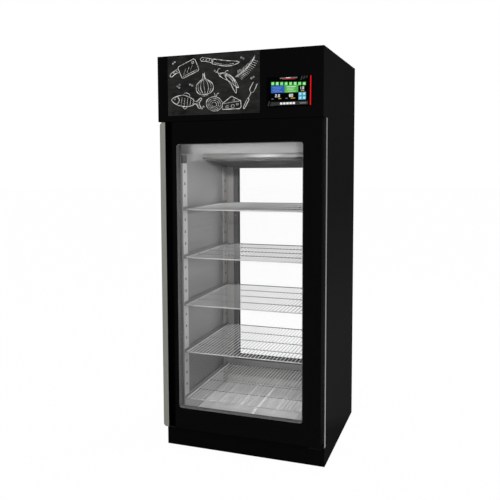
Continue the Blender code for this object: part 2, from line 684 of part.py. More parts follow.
evaporator_cover = profile("evaporator_cover", cover_outline(0, ceiling_seat_z), "X", -cover_x, cover_x,
                           "stainless")
cut(evaporator_cover,
    profile("evaporator_cover_hollow", cover_outline(FOLD_SHEET, ceiling_z + OVERRUN), "X",
            -cover_x + FOLD_SHEET, cover_x - FOLD_SHEET))
fan_y = cover_rear_y - EVAPORATOR_FAN_TO_REAR
fan_base_z = ceiling_z - EVAPORATOR_FAN_DROP
ring_radius = EVAPORATOR_FAN_RADIUS + FAN_TIP_CLEARANCE
hole_low_z = cover_rear_bottom_z - OVERRUN
hole_high_z = cover_nose_bottom_z + FOLD_SHEET + OVERRUN
cut(evaporator_cover, cylinder("evaporator_fan_hole", (0, fan_y, (hole_low_z + hole_high_z) / 2), ring_radius,
                               hole_high_z - hole_low_z, "Z"))
motor_top_z = fan_base_z - FAN_SETBACK
motor_bottom_z = motor_top_z - MOTOR_LENGTH
motor = cylinder("evaporator_motor", (0, fan_y, (motor_top_z + motor_bottom_z) / 2), HUB_RADIUS,
                 MOTOR_LENGTH, "Z")
shaft_top_z = fan_base_z + EVAPORATOR_FAN_THICKNESS - FAN_SETBACK
shaft_low_z = motor_top_z - FAN_SETBACK
shaft = cylinder("evaporator_shaft", (0, fan_y, (shaft_low_z + shaft_top_z) / 2), SHAFT_RADIUS,
                 shaft_top_z - shaft_low_z, "Z")


def cover_floor_z(y):
    """Height of the cover's sloping underside."""
    slope = (cover_rear_bottom_z - cover_nose_bottom_z) / (cover_rear_y - straight_y)
    return cover_nose_bottom_z + slope * (y - straight_y)


motor_arm_z = cover_floor_z(fan_y)
arms = box("evaporator_motor_arms", (-ring_radius - FAN_TIP_CLEARANCE, fan_y - STRUT_WIDTH / 2, motor_arm_z),
           (ring_radius + FAN_TIP_CLEARANCE, fan_y + STRUT_WIDTH / 2, motor_bottom_z + STRUT_WIDTH))
join(evaporator_cover, arms, motor, shaft)


def fan(name, centre, axis, radius, thickness, finish):
    """A bored hub with pitched blades, turning about an axis through its centre."""
    turn = Matrix.Rotation(-math.pi / 2, 4, "X") if axis == "Y" else Matrix.Identity(4)
    hub = cylinder(name, (0, 0, 0), HUB_RADIUS, thickness, "Z", finish)
    hub.matrix_world = Matrix.Translation(centre) @ turn
    for number in range(BLADE_COUNT):
        blade = box(f"{name}_blade_{number + 1}", (HUB_RADIUS - BLADE_THICKNESS * 2, -BLADE_CHORD / 2,
                                                   -BLADE_THICKNESS / 2),
                    (radius, BLADE_CHORD / 2, BLADE_THICKNESS / 2))
        blade.matrix_world = (Matrix.Translation(centre) @ turn
                              @ Matrix.Rotation(2 * math.pi * number / BLADE_COUNT, 4, "Z")
                              @ Matrix.Rotation(math.radians(BLADE_PITCH_DEGREES), 4, "X")
                              @ Matrix.Translation(((HUB_RADIUS - BLADE_THICKNESS * 2 + radius) / 2, 0, 0)))
        join(hub, blade)
    bore = cylinder(name + "_bore", (0, 0, 0), SHAFT_RADIUS + SHAFT_CLEARANCE, thickness + OVERRUN, "Z")
    bore.matrix_world = Matrix.Translation(centre) @ turn
    cut(hub, bore)
    return hub


evaporator_fan_centre = Vector((0, fan_y, fan_base_z + EVAPORATOR_FAN_THICKNESS / 2))
evaporator_fan = fan("evaporator_fan", evaporator_fan_centre, "Z", EVAPORATOR_FAN_RADIUS,
                     EVAPORATOR_FAN_THICKNESS, "black_plastic")
carry(pivot("evaporator_fan_axis", evaporator_fan_centre), evaporator_fan)

coil_x = opening_x - EVAPORATOR_COIL_SIDE_GAP
coil_rear_y = cover_rear_y - EVAPORATOR_COIL_REAR_GAP
box("evaporator_coil", (-coil_x, coil_rear_y - EVAPORATOR_COIL_DEPTH, ceiling_z - EVAPORATOR_COIL_DROP),
    (coil_x, coil_rear_y, ceiling_seat_z), "aluminium")

# Machine compartment over the insulated box: deck, compressor, condenser, shroud with motor, and fan

box("machine_deck", (-skin_x + GAP, frame_y, header_bottom_z), (skin_x - GAP, skin_rear_y - GAP, deck_top_z),
    "galvanised")
machine_seat_z = deck_top_z + GAP

compressor_x = -half_width + COMPRESSOR_SIDE_INSET
compressor_y = rear_y - COMPRESSOR_REAR_INSET
compressor_base_z = machine_seat_z + COMPRESSOR_FOOT_HEIGHT
profile_bm = bmesh.new()
ring = []
for share_r, share_z in COMPRESSOR_PROFILE_SHARES:
    height = compressor_base_z + share_z * COMPRESSOR_HEIGHT
    ring.append(profile_bm.verts.new((share_r * COMPRESSOR_RADIUS, 0, height)))
for first, second in zip(ring, ring[1:]):
    profile_bm.edges.new((first, second))
compressor = add_object("compressor", mesh_of(profile_bm, "compressor"), "black_lacquer")
compressor.location = (compressor_x, compressor_y, 0)
turned = compressor.modifiers.new("turned", "SCREW")
turned.steps = turned.render_steps = ROUND_SEGMENTS
turned.use_merge_vertices = True
turned.merge_threshold = GAP / 10
turned.use_smooth_shade = True
spread = COMPRESSOR_FOOT_SPREAD
mount_plate = box("compressor_plate", (compressor_x - spread, compressor_y - spread, compressor_base_z - GAP),
                  (compressor_x + spread, compressor_y + spread, compressor_base_z + COMPRESSOR_PLATE))
join(compressor, mount_plate)
foot_offset = spread - COMPRESSOR_FOOT_RADIUS - GAP
foot_middle_z = machine_seat_z + (COMPRESSOR_FOOT_HEIGHT + GAP) / 2
for number, (sign_x, sign_y) in enumerate(((-1, -1), (1, -1), (1, 1), (-1, 1))):
    place = (compressor_x + sign_x * foot_offset, compressor_y + sign_y * foot_offset, foot_middle_z)
    join(compressor, cylinder(f"compressor_foot_{number + 1}", place, COMPRESSOR_FOOT_RADIUS,
                              COMPRESSOR_FOOT_HEIGHT + GAP, "Z", segments=COMPRESSOR_FOOT_SEGMENTS))

condenser_x = half_width - CONDENSER_SIDE_INSET
condenser_low_x, condenser_high_x = condenser_x - CONDENSER_WIDTH / 2, condenser_x + CONDENSER_WIDTH / 2
condenser_y = rear_y - CONDENSER_REAR_INSET - CONDENSER_DEPTH
condenser_top_z = machine_seat_z + CONDENSER_HEIGHT
condenser = box("condenser_coil", (condenser_low_x, condenser_y, machine_seat_z),
                (condenser_high_x, condenser_y + CONDENSER_DEPTH, condenser_top_z), "aluminium")
fin_room = CONDENSER_WIDTH - 2 * CONDENSER_END_PLATE
fin_gaps = round(fin_room / CONDENSER_FIN_PITCH)
fin_pitch = fin_room / fin_gaps
condenser_back_y = condenser_y + CONDENSER_DEPTH
fin_low_z = machine_seat_z + CONDENSER_CORE_INSET
fin_high_z = condenser_top_z - CONDENSER_CORE_INSET
fin_slots = []
for number in range(fin_gaps):
    slot_x = condenser_low_x + CONDENSER_END_PLATE + number * fin_pitch
    low = slot_x + CONDENSER_FIN / 2
    high = slot_x + fin_pitch - CONDENSER_FIN / 2
    for near_y, far_y in ((condenser_y - OVERRUN, condenser_y + CONDENSER_CORE_INSET),
                          (condenser_back_y - CONDENSER_CORE_INSET, condenser_back_y + OVERRUN)):
        fin_slots.append(((low, near_y, fin_low_z), (high, far_y, fin_high_z)))
cut(condenser, add_object("condenser_slots", box_mesh("condenser_slots", fin_slots), None))

shroud_back_y = condenser_y - GAP
shroud_front_y = shroud_back_y - SHROUD_DEPTH
shroud = box("fan_shroud", (condenser_low_x, shroud_front_y, machine_seat_z),
             (condenser_high_x, shroud_back_y, condenser_top_z), "black_plastic")
duct_radius = CONDENSER_FAN_RADIUS + FAN_TIP_CLEARANCE
duct_z = machine_seat_z + CONDENSER_HEIGHT / 2
condenser_fan_y = shroud_front_y + CONDENSER_FAN_THICKNESS / 2 + OVERRUN
cut(shroud,
    box("fan_shroud_hollow", (condenser_low_x + FOLD_SHEET, shroud_front_y + SHROUD_DEPTH / 2,
                              machine_seat_z + FOLD_SHEET),
        (condenser_high_x - FOLD_SHEET, shroud_back_y + OVERRUN, condenser_top_z - FOLD_SHEET)),
    cylinder("fan_shroud_duct", (condenser_x, shroud_front_y, duct_z), duct_radius, 2 * SHROUD_DEPTH, "Y"))
fan_back_y = condenser_fan_y + CONDENSER_FAN_THICKNESS / 2
motor_front_y = fan_back_y + FAN_SETBACK
motor_back_y = motor_front_y + MOTOR_LENGTH
fan_motor = cylinder("condenser_motor", (condenser_x, (motor_front_y + motor_back_y) / 2, duct_z),
                     MOTOR_RADIUS, MOTOR_LENGTH, "Y")
fan_shaft_front_y = condenser_fan_y - CONDENSER_FAN_THICKNESS / 2 + FAN_SETBACK
fan_shaft_back_y = motor_front_y + FAN_SETBACK
fan_shaft = cylinder("condenser_shaft", (condenser_x, (fan_shaft_front_y + fan_shaft_back_y) / 2, duct_z),
                     SHAFT_RADIUS, fan_shaft_back_y - fan_shaft_front_y, "Y")
motor_arms = box("condenser_motor_arms", (condenser_x - STRUT_WIDTH / 2, motor_back_y - STRUT_WIDTH,
                                          machine_seat_z + GAP),
                 (condenser_x + STRUT_WIDTH / 2, motor_back_y, condenser_top_z - GAP))
join(shroud, motor_arms, fan_motor, fan_shaft)

condenser_fan_centre = Vector((condenser_x, condenser_fan_y, duct_z))
condenser_fan = fan("condenser_fan", condenser_fan_centre, "Y", CONDENSER_FAN_RADIUS, CONDENSER_FAN_THICKNESS,
                    "black_plastic")
carry(pivot("condenser_fan_axis", condenser_fan_centre), condenser_fan)

# Door: black frame, front and inner panes, gasket, and a grip channel on the free edge

door_axis = pivot("front_door_axis", (hinge_x, hinge_y, 0))
window_x = half_width - WINDOW_SIDE_MARGIN
window_bottom_z = DOOR_BOTTOM_Z + WINDOW_BOTTOM_MARGIN
window_top_z = door_top_z - WINDOW_TOP_MARGIN
pane_back_y = front_y + PANE_THICKNESS
frame_left_x = grip_right_x + GAP

door_pane_outer = rounded_box("door_pane_outer", (frame_left_x, front_y, DOOR_BOTTOM_Z),
                              (door_right_x, pane_back_y, door_top_z), "Y", DOOR_CORNER_RADIUS, "glass")
door_frame = rounded_box("door_frame", (frame_left_x, pane_back_y + GAP, DOOR_BOTTOM_Z),
                         (door_right_x, door_back_y, door_top_z), "Z", DOOR_CORNER_RADIUS, "black_lacquer")
hole_reach = PIN_DEPTH + PIN_HOLE_END_CLEARANCE
cut(door_frame,
    rounded_box("door_frame_window", (-window_x, front_y - OVERRUN, window_bottom_z),
                (window_x, door_back_y + OVERRUN, window_top_z), "Y", WINDOW_CORNER_RADIUS),
    cylinder("door_frame_pin_hole_bottom", (hinge_x, hinge_y, DOOR_BOTTOM_Z + (hole_reach - OVERRUN) / 2),
             PIN_RADIUS + PIN_CLEARANCE, hole_reach + OVERRUN, "Z"),
    cylinder("door_frame_pin_hole_top", (hinge_x, hinge_y, door_top_z - (hole_reach - OVERRUN) / 2),
             PIN_RADIUS + PIN_CLEARANCE, hole_reach + OVERRUN, "Z"))
inner_pane_back_y = door_back_y - INNER_PANE_SETBACK
door_pane_inner = rounded_box("door_pane_inner",
                              (-window_x + GAP, inner_pane_back_y - PANE_THICKNESS, window_bottom_z + GAP),
                              (window_x - GAP, inner_pane_back_y, window_top_z - GAP), "Y",
                              WINDOW_CORNER_RADIUS, "glass")

gasket_x = opening_x
gasket_low_z, gasket_high_z = sill_z, lintel_z
door_gasket = box("door_gasket", (-gasket_x - GASKET_WIDTH, door_back_y + GAP, gasket_low_z - GASKET_WIDTH),
                  (gasket_x + GASKET_WIDTH, frame_y - GAP, gasket_high_z + GASKET_WIDTH), "rubber")
cut(door_gasket, box("door_gasket_opening", (-gasket_x, door_back_y - OVERRUN, gasket_low_z),
                     (gasket_x, frame_y + OVERRUN, gasket_high_z)))

grip_floor_y = door_back_y - HANDLE_WALL
lip_back_y = front_y + HANDLE_LIP_WALL
lip_round = HANDLE_LIP_WALL / 2
handle_outline = [(grip_right_x, door_back_y), (grip_right_x, grip_floor_y),
                  (door_left_x + HANDLE_WALL, grip_floor_y), (door_left_x + HANDLE_WALL, lip_back_y)]
for step in range(CORNER_SEGMENTS + 1):
    angle = math.pi / 2 - step * math.pi / CORNER_SEGMENTS
    handle_outline.append((grip_left_x - lip_round + lip_round * math.cos(angle),
                           front_y + lip_round + lip_round * math.sin(angle)))
for step in range(CORNER_SEGMENTS + 1):
    angle = -math.pi / 2 - step * math.pi / 2 / CORNER_SEGMENTS
    handle_outline.append((door_left_x + lip_round + lip_round * math.cos(angle),
                           front_y + lip_round + lip_round * math.sin(angle)))
handle_outline.append((door_left_x, door_back_y))
door_handle = profile("door_handle", handle_outline, "Z", DOOR_BOTTOM_Z, door_top_z, "anodised_grey")
cap_front_y = front_y + HANDLE_CAP_SETBACK
for word, low_z in (("bottom", DOOR_BOTTOM_Z), ("top", door_top_z - HANDLE_CAP_THICKNESS)):
    join(door_handle, box("door_handle_cap_" + word, (door_left_x + HANDLE_WALL / 2, cap_front_y, low_z),
                          (grip_right_x, door_back_y - HANDLE_WALL / 2, low_z + HANDLE_CAP_THICKNESS)))
corner = HANDLE_END_RADIUS
for word, edge_z, sign in (("bottom", DOOR_BOTTOM_Z, 1), ("top", door_top_z, -1)):
    beyond_z = edge_z - sign * OVERRUN
    outside = [(door_left_x - OVERRUN, beyond_z), (door_left_x + corner, beyond_z)]
    for step in range(CORNER_SEGMENTS + 1):
        angle = step * math.pi / 2 / CORNER_SEGMENTS
        outside.append((door_left_x + corner - corner * math.sin(angle),
                        edge_z + sign * (corner - corner * math.cos(angle))))
    outside.append((door_left_x - OVERRUN, edge_z + sign * corner))
    cut(door_handle, profile("door_handle_round_" + word, outside, "Y", front_y - OVERRUN,
                             door_back_y + OVERRUN))
carry(door_axis, door_pane_outer, door_frame, door_pane_inner, door_gasket, door_handle)

# Hinge brackets with their pins: a plate under the door, and one in the header over it

bracket_low_y = hinge_y - BRACKET_REACH
bracket_high_x = half_width - BRACKET_SIDE_INSET
bracket_low_x = bracket_high_x - BRACKET_LENGTH
bracket_top_z = DOOR_BOTTOM_Z - BRACKET_DROP
bracket_bottom = rounded_box("hinge_bracket_bottom",
                             (bracket_low_x, bracket_low_y, bracket_top_z - BRACKET_THICKNESS),
                             (bracket_high_x, frame_y - GAP, bracket_top_z), "Z",
                             DOOR_CORNER_RADIUS, "stainless")
join(bracket_bottom,
     cylinder("hinge_collar_bottom", (hinge_x, hinge_y, DOOR_BOTTOM_Z - GAP - BRACKET_DROP), COLLAR_RADIUS,
              2 * BRACKET_DROP, "Z"),
     cylinder("hinge_pin_bottom", (hinge_x, hinge_y, bracket_top_z + PIN_DEPTH / 2), PIN_RADIUS,
              PIN_DEPTH + BRACKET_DROP, "Z"))
bracket_seat_z = header_bottom_z + FOLD_SHEET + GAP
bracket_top = rounded_box("hinge_bracket_top",
                          (bracket_low_x, bracket_low_y, bracket_seat_z),
                          (bracket_high_x, frame_y - GAP, bracket_seat_z + BRACKET_THICKNESS), "Z",
                          DOOR_CORNER_RADIUS, "stainless")
pin_low_z = door_top_z - PIN_DEPTH
pin_high_z = bracket_seat_z + BRACKET_DROP
join(bracket_top,
     cylinder("hinge_pin_top", (hinge_x, hinge_y, (pin_low_z + pin_high_z) / 2), PIN_RADIUS,
              pin_high_z - pin_low_z, "Z"))

for piece in (compressor, evaporator_fan, condenser_fan):
    smooth(piece)
bpy.data.objects.remove(grid, do_unlink=True)
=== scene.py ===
import itertools
import math
import random
from functools import partial

import bmesh
import bpy
from mathutils import Matrix, Vector


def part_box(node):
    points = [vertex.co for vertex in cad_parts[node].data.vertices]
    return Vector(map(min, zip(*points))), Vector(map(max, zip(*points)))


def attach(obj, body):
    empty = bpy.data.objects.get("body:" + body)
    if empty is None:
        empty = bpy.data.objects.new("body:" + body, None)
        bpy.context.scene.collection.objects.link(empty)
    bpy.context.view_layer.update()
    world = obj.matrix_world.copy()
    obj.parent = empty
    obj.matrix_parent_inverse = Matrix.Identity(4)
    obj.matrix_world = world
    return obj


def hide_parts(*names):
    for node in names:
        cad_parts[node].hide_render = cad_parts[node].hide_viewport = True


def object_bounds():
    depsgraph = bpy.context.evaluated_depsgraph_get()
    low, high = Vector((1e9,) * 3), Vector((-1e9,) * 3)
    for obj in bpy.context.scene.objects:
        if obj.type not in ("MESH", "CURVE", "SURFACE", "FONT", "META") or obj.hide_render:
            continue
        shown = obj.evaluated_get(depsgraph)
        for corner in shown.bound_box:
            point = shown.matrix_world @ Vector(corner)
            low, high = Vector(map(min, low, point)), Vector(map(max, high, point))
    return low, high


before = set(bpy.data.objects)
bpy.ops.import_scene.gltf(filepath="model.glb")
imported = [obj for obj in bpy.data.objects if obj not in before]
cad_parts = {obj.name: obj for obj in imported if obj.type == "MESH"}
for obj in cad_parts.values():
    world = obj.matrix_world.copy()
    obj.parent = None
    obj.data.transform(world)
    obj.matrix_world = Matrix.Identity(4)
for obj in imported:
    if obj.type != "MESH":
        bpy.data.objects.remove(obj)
packed_low, packed_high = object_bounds()


# Studio: a pale paper floor that runs on into a white backdrop, four soft lamps and the camera.
# The paper shows plain white to the camera, to gloss and to glass, and still takes the cabinet's shadow.

class Wire:
    """A socket in a finish's node tree. Sums on it add the nodes, so that a recipe reads as plain maths."""

    def __init__(self, finish, socket):
        self.finish, self.socket = finish, socket

    def maths(self, operation, *others):
        """One sum on this wire, and on others where it needs them."""
        return self.finish.add("ShaderNodeMath", dict(enumerate((self, *others))), operation=operation)

    def __add__(self, other):
        return self.maths("ADD", other)

    def __sub__(self, other):
        return self.maths("SUBTRACT", other)

    def __rsub__(self, other):
        return self.finish.add("ShaderNodeMath", {0: other, 1: self}, operation="SUBTRACT")

    def __mul__(self, other):
        return self.maths("MULTIPLY", other)

    def __abs__(self):
        return self.maths("ABSOLUTE")

    def __gt__(self, other):
        return self.maths("GREATER_THAN", other)

    def __lt__(self, other):
        return self.maths("LESS_THAN", other)

    __radd__, __rmul__ = __add__, __mul__


class Finish:
    """The nodes of one surface's material, given by its name, or of the studio's air or a lamp."""

    def __init__(self, owner):
        self.owner = bpy.data.materials.new(owner) if isinstance(owner, str) else owner
        self.owner.use_nodes = True
        self.tree = self.owner.node_tree
        self.end = next(node for node in self.tree.nodes if node.name.endswith("Output"))
        self.shader = self.end.inputs["Surface"].links[0].from_node
        self.plain = Wire(self, self.shader.outputs[0])

    def fill(self, node, sockets):
        """Gives a node's sockets their values or links. One number in a colour socket is a grey."""
        for name, value in sockets.items():
            socket = node.inputs[name]
            if isinstance(value, Wire):
                self.tree.links.new(value.socket, socket)
            elif socket.type == "RGBA":
                socket.default_value = (*(value if isinstance(value, tuple) else (value,) * 3), 1.0)
            else:
                socket.default_value = value
        return self

    def add(self, kind, sockets=None, output=0, **settings):
        """Adds a node, sets it up first, then gives its sockets their values or links."""
        node = self.tree.nodes.new(kind)
        for name, value in settings.items():
            setattr(node, name, value)
        self.fill(node, sockets or {})
        return Wire(self, node.outputs[output])

    def show(self, shader):
        """Shows this shader in place of the usual one."""
        return self.fill(self.end, {"Surface": shader})

    def surface(self, colour, rough, relief=None, gloss=0.0, metal=0.0, glow=None):
        """Sets the look. Rough is a number or (cloud, low, high), relief (height, depth, strength), glow
        (colour, strength)."""
        rough = self.spread(*rough) if isinstance(rough, tuple) else rough
        sockets = {"Base Color": colour, "Roughness": rough, "Specular IOR Level": gloss, "Metallic": metal}
        if relief:
            named = dict(zip(("Height", "Distance", "Strength"), relief))
            sockets["Normal"] = self.add("ShaderNodeBump", named)
        if glow:
            sockets["Emission Color"], sockets["Emission Strength"] = glow
        return self.fill(self.shader, sockets)

    def shade(self, share, colour):
        """Turns the surface towards another colour, by a share that can vary over the piece."""
        so_far = Wire(self, self.shader.inputs["Base Color"].links[0].from_socket)
        return self.fill(self.shader, {"Base Color": self.mix(share, so_far, colour)})

    def place(self, stretch=None):
        """The point on the piece, in metres from the cabinet's origin, stretched on each axis."""
        point = self.add("ShaderNodeTexCoord", output="Object")
        if not stretch:
            return point
        return self.add("ShaderNodeVectorMath", {0: point, 1: stretch}, operation="MULTIPLY")

    def apart(self, vector):
        """The three parts of a vector."""
        node = self.add("ShaderNodeSeparateXYZ", {0: vector}).socket.node
        return [Wire(self, node.outputs[axis]) for axis in "XYZ"]

    def axes(self):
        """The point on the piece, as x, y and z."""
        return self.apart(self.place())

    def facing(self):
        """The way the surface faces, as x, y and z."""
        return self.apart(self.add("ShaderNodeNewGeometry", output="Normal"))

    def cloud(self, scale, detail=2.0, stretch=None):
        """Even noise from 0 to 1."""
        return self.add("ShaderNodeTexNoise",
                        {"Vector": self.place(stretch), "Scale": scale, "Detail": detail})

    def ramp(self, value, low, high, start=0.0, end=1.0):
        """Runs from start to end while the value goes from low to high, and stays there."""
        return self.add("ShaderNodeMapRange", {0: value, 1: low, 2: high, 3: start, 4: end})

    def spread(self, cloud, start, end):
        """Spreads the values that a cloud mostly has, 0.3 to 0.7, over a range."""
        return self.ramp(cloud, 0.3, 0.7, start, end)

    def mix(self, share, first, second):
        """A colour between two."""
        return self.add("ShaderNodeMix", {0: share, 6: first, 7: second}, output=2, data_type="RGBA")

    def blend(self, share, first, second):
        """A shader between two."""
        return self.add("ShaderNodeMixShader", {0: share, 1: first, 2: second})

    def seen(self):
        """1 for rays from the camera and from gloss and glass, else 0."""
        rays = self.add("ShaderNodeLightPath").socket.node.outputs
        camera, gloss, glass = (Wire(self, rays[f"Is {kind} Ray"])
                                for kind in ("Camera", "Glossy", "Transmission"))
        return camera.maths("MAXIMUM", gloss).maths("MAXIMUM", glass)


def stand(name, data, place=(0.0, 0.0, 0.0)):
    """Stands a new object in the scene."""
    thing = bpy.data.objects.new(name, data)
    bpy.context.scene.collection.objects.link(thing)
    thing.location = place
    return thing


floor_radius, paper_white_share = 40.0, 0.985
paper = Finish("studio_paper")
paper.surface(paper.mix(paper.cloud(60.0, 3.0), 0.79, 0.81), 0.9)
paper_glow = paper.add("ShaderNodeEmission", {"Color": 1.0, "Strength": 1.0})
paper.show(paper.blend(paper.seen() * paper_white_share, paper.plain, paper_glow))
floor_mesh = bmesh.new()
bmesh.ops.create_circle(floor_mesh, cap_ends=True, segments=96, radius=floor_radius)
floor_data = bpy.data.meshes.new("studio_floor")
floor_mesh.to_mesh(floor_data)
floor_mesh.free()
floor_data.materials.append(paper.owner)
stand("studio_floor", floor_data, (0.0, 0.0, packed_low.z))

sky_light = 0.62
air = Finish(bpy.data.worlds.new("studio_air"))
air.fill(air.shader, {"Color": 1.0, "Strength": sky_light})
backdrop = air.add("ShaderNodeBackground", {"Color": 1.0, "Strength": 1.0})
air.show(air.blend(air.seen(), air.plain, backdrop))
bpy.context.scene.world = air.owner

for name, place, aim, size, power in (
        ("lamp_front_left", (-1.3, -4.4, 2.15), (0.0, 0.0, 1.2), 1.2, 35.0),
        ("lamp_front_right", (1.9, -4.5, 2.03), (-0.2, 0.0, 1.0), 0.05, 22.0),
        ("lamp_behind", (0.9, 3.2, 2.7), (0.0, 0.0, 0.2), 0.6, 60.0),
        ("lamp_right", (4.2, -1.6, 1.2), (0.43, 0.0, 0.7), 2.0, 50.0)):
    light = bpy.data.lights.new(name, "AREA")
    light.energy, light.size = power, size
    aimed = (Vector(aim) - Vector(place)).to_track_quat("-Z", "Y").to_euler()
    stand(name, light, place).rotation_euler = aimed

lens = bpy.data.cameras.new("photo_camera")
lens.sensor_width, lens.lens, lens.clip_end = 36.0, 49.0467, 200.0
lens.shift_x, lens.shift_y = 0.088497, -0.056008
camera = stand("photo_camera", lens)
camera_place = Matrix.Translation((1.10208, -3.67192, 1.53022))
yaw, pitch, roll = (math.radians(angle) for angle in (21.526, 90.0 - 4.889, -0.492))
camera.matrix_world = (camera_place @ Matrix.Rotation(yaw, 4, "Z") @ Matrix.Rotation(pitch, 4, "X")
                       @ Matrix.Rotation(roll, 4, "Z"))
bpy.context.scene.camera = camera
bpy.context.scene.view_settings.view_transform = "Standard"


# Outer casing: side panels, rear panel, lid, plinth and header fascia.
# They are folded steel sheet with a black satin powder coat, hooked together so that no screw shows.

half_width, front_y = packed_high.x, packed_low.y
ends, sides = ("front", "rear"), (("left", -1), ("right", 1))


def dress(finish, *names):
    """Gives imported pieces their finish."""
    for name in names:
        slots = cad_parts[name].data.materials
        slots.clear()
        slots.append(finish.owner)
    return finish


def powder_coat(name, side, edge, front=0.0029):
    """Black powder coat, a little greyer on the sides. Low on the sides it is painted paler as light from the
    floor.
    """
    coat = Finish(name)
    x, y, z = coat.axes()
    dust = coat.cloud(3.0, 4.0)
    # Painted light: low on the sides the coat turns paler, as light thrown up from the floor, and fades back
    # just above it.
    bounce_fade_height, bounce_full_height, foot_lean = 1.35, 0.62, 0.34
    floor_bounce_light = coat.ramp(z, bounce_fade_height, bounce_full_height) * coat.ramp(z + y * foot_lean, 0.06, 0.14)
    front_tone = coat.mix(dust, front, front * 1.15)
    side_tone = coat.mix(floor_bounce_light * 0.9 + dust * 0.1, side, side * 1.70)
    return coat.surface(coat.mix(abs(x) > edge - 0.0016, front_tone, side_tone),
                        (coat.cloud(14.0, 3.0), 0.50, 0.62), (coat.cloud(420.0), 0.0001, 0.25))


black_coat = powder_coat("black_powder_coat", 0.0090, half_width)
dress(black_coat, "side_panel_left", "side_panel_right", "rear_panel", "top_panel", "plinth", "header_fascia")


def fit(name, mesh, finish, body="cabinet", stands_for=None, sharp=35.0):
    """Turns a built mesh into a named piece with its finish, on the body that carries it."""
    bmesh.ops.recalc_face_normals(mesh, faces=mesh.faces)
    data = bpy.data.meshes.new(name)
    mesh.to_mesh(data)
    mesh.free()
    data.materials.append(finish.owner)
    data.shade_smooth()
    data.set_sharp_from_angle(angle=math.radians(sharp))
    piece = stand(name, data)
    if stands_for:
        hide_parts(stands_for)
    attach(piece, body)


def add_block(mesh, low, high, rounding=0.0, steps=2, turn=Matrix.Identity(4)):
    """A block between two corners, with its edges rounded and, if asked, turned about its middle."""
    low, high = Vector(low), Vector(high)
    verts = bmesh.ops.create_cube(mesh, size=1.0, matrix=Matrix.Diagonal((*(high - low), 1.0)))["verts"]
    if rounding:
        edges = list({edge for vert in verts for edge in vert.link_edges})
        rounded = bmesh.ops.bevel(mesh, geom=edges, offset=rounding, segments=steps, profile=0.5,
                                  affect="EDGES")["faces"]
        still_there = {vert for vert in verts if vert.is_valid}
        verts = list({vert for face in rounded for vert in face.verts} | still_there)
    bmesh.ops.transform(mesh, verts=verts, matrix=Matrix.Translation((low + high) / 2) @ turn)


louvre_count, louvre_pitch, louvre_turn = 9, 0.024, Matrix.Rotation(math.radians(-38), 4, "X")
louvre_half, louvre_aside, louvre_depth, louvre_sheet = 0.165, 0.19, 0.017, 0.0012
louvre_clear, louvre_start, louvre_rounding = 0.0020, 0.0716, 0.0003
louvre_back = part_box("rear_panel")[0].y - louvre_clear
louvre_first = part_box("header_fascia")[0].z + louvre_start
louvres = bmesh.new()
for row in range(louvre_count):
    louvre_z = louvre_first + row * louvre_pitch
    for louvre_x in (-louvre_aside, louvre_aside):
        add_block(louvres, (louvre_x - louvre_half, louvre_back - louvre_depth, louvre_z - louvre_sheet / 2),
                  (louvre_x + louvre_half, louvre_back - 0.0006, louvre_z + louvre_sheet / 2),
                  louvre_rounding, 1, louvre_turn)
fit("rear_vent_louvres", louvres, black_coat)


# Base: a galvanised pan under the insulation, on four plastic feet with zinc-plated screw stems.
# A nut locks each stem under the pan once the cabinet stands level.

def moulded(name, dark, light, rough=0.55, grain=1600.0, depth=0.00008, gloss=0.3):
    """Moulded plastic with a fine spark-eroded grain."""
    plastic = Finish(name)
    return plastic.surface(plastic.mix(plastic.cloud(22.0, 3.0), dark, light),
                           (plastic.cloud(90.0), rough - 0.06, rough + 0.06),
                           (plastic.cloud(grain, 1.0), depth, 0.4), gloss)


black_moulding = moulded("black_moulded_plastic", (0.010, 0.010, 0.011), (0.016, 0.016, 0.017))
dress(black_moulding, *(f"levelling_foot_{end}_{side}" for end in ends for side, _ in sides))

zinc = Finish("zinc_sheet")
flakes = zinc.add("ShaderNodeTexVoronoi", {"Vector": zinc.place(), "Scale": 90.0}, "Color")
spangle = zinc.add("ShaderNodeSeparateColor", {0: flakes})
zinc_tone = zinc.mix(spangle * 0.7 + zinc.cloud(12.0, 3.0) * 0.3, (0.36, 0.37, 0.38), (0.52, 0.53, 0.54))
zinc.surface(zinc_tone, zinc.ramp(spangle, 0.0, 1.0, 0.34, 0.52), (spangle, 0.00006, 0.3), 0.5, 1.0)
dress(zinc, "base_pan", "machine_deck")

quarter = math.pi / 2
stood_on = {"X": Matrix.Rotation(quarter, 4, "Y"), "-X": Matrix.Rotation(-quarter, 4, "Y"),
            "Y": Matrix.Rotation(-quarter, 4, "X"), "-Y": Matrix.Rotation(quarter, 4, "X"),
            "Z": Matrix.Identity(4)}


def skin(mesh, first, second, closed=True):
    """Closes the band between two rows of points, or two rings of them."""
    for here in range(len(first) if closed else len(first) - 1):
        beside = (here + 1) % len(first)
        mesh.faces.new((first[here], first[beside], second[beside], second[here]))


def turns(start, end, steps):
    """Cosine and sine at even steps from one angle to another, with both of them, in degrees."""
    angles = [math.radians(start + (end - start) * step / steps) for step in range(steps + 1)]
    return [(math.cos(angle), math.sin(angle)) for angle in angles]


def circle(radius, steps, height=0.0):
    """Points round a circle about Z."""
    return [Vector((radius * cos, radius * sin, height)) for cos, sin in turns(0, 360, steps)[:-1]]


def add_turned(mesh, outline, centre, axis="Z", steps=32):
    """A turned piece: (radius, height) points spun round an axis through the centre."""
    seat = Matrix.Translation(centre) @ stood_on[axis]
    rings = [[mesh.verts.new(seat @ point) for point in circle(radius, steps if radius else 1, height)]
             for radius, height in outline]
    for first, second in zip(rings, rings[1:]):
        if len(first) == len(second):
            skin(mesh, first, second)
        else:
            (middle,), ring = sorted((first, second), key=len)
            for here, beside in zip(ring, ring[1:] + ring[:1]):
                mesh.faces.new((here, beside, middle))


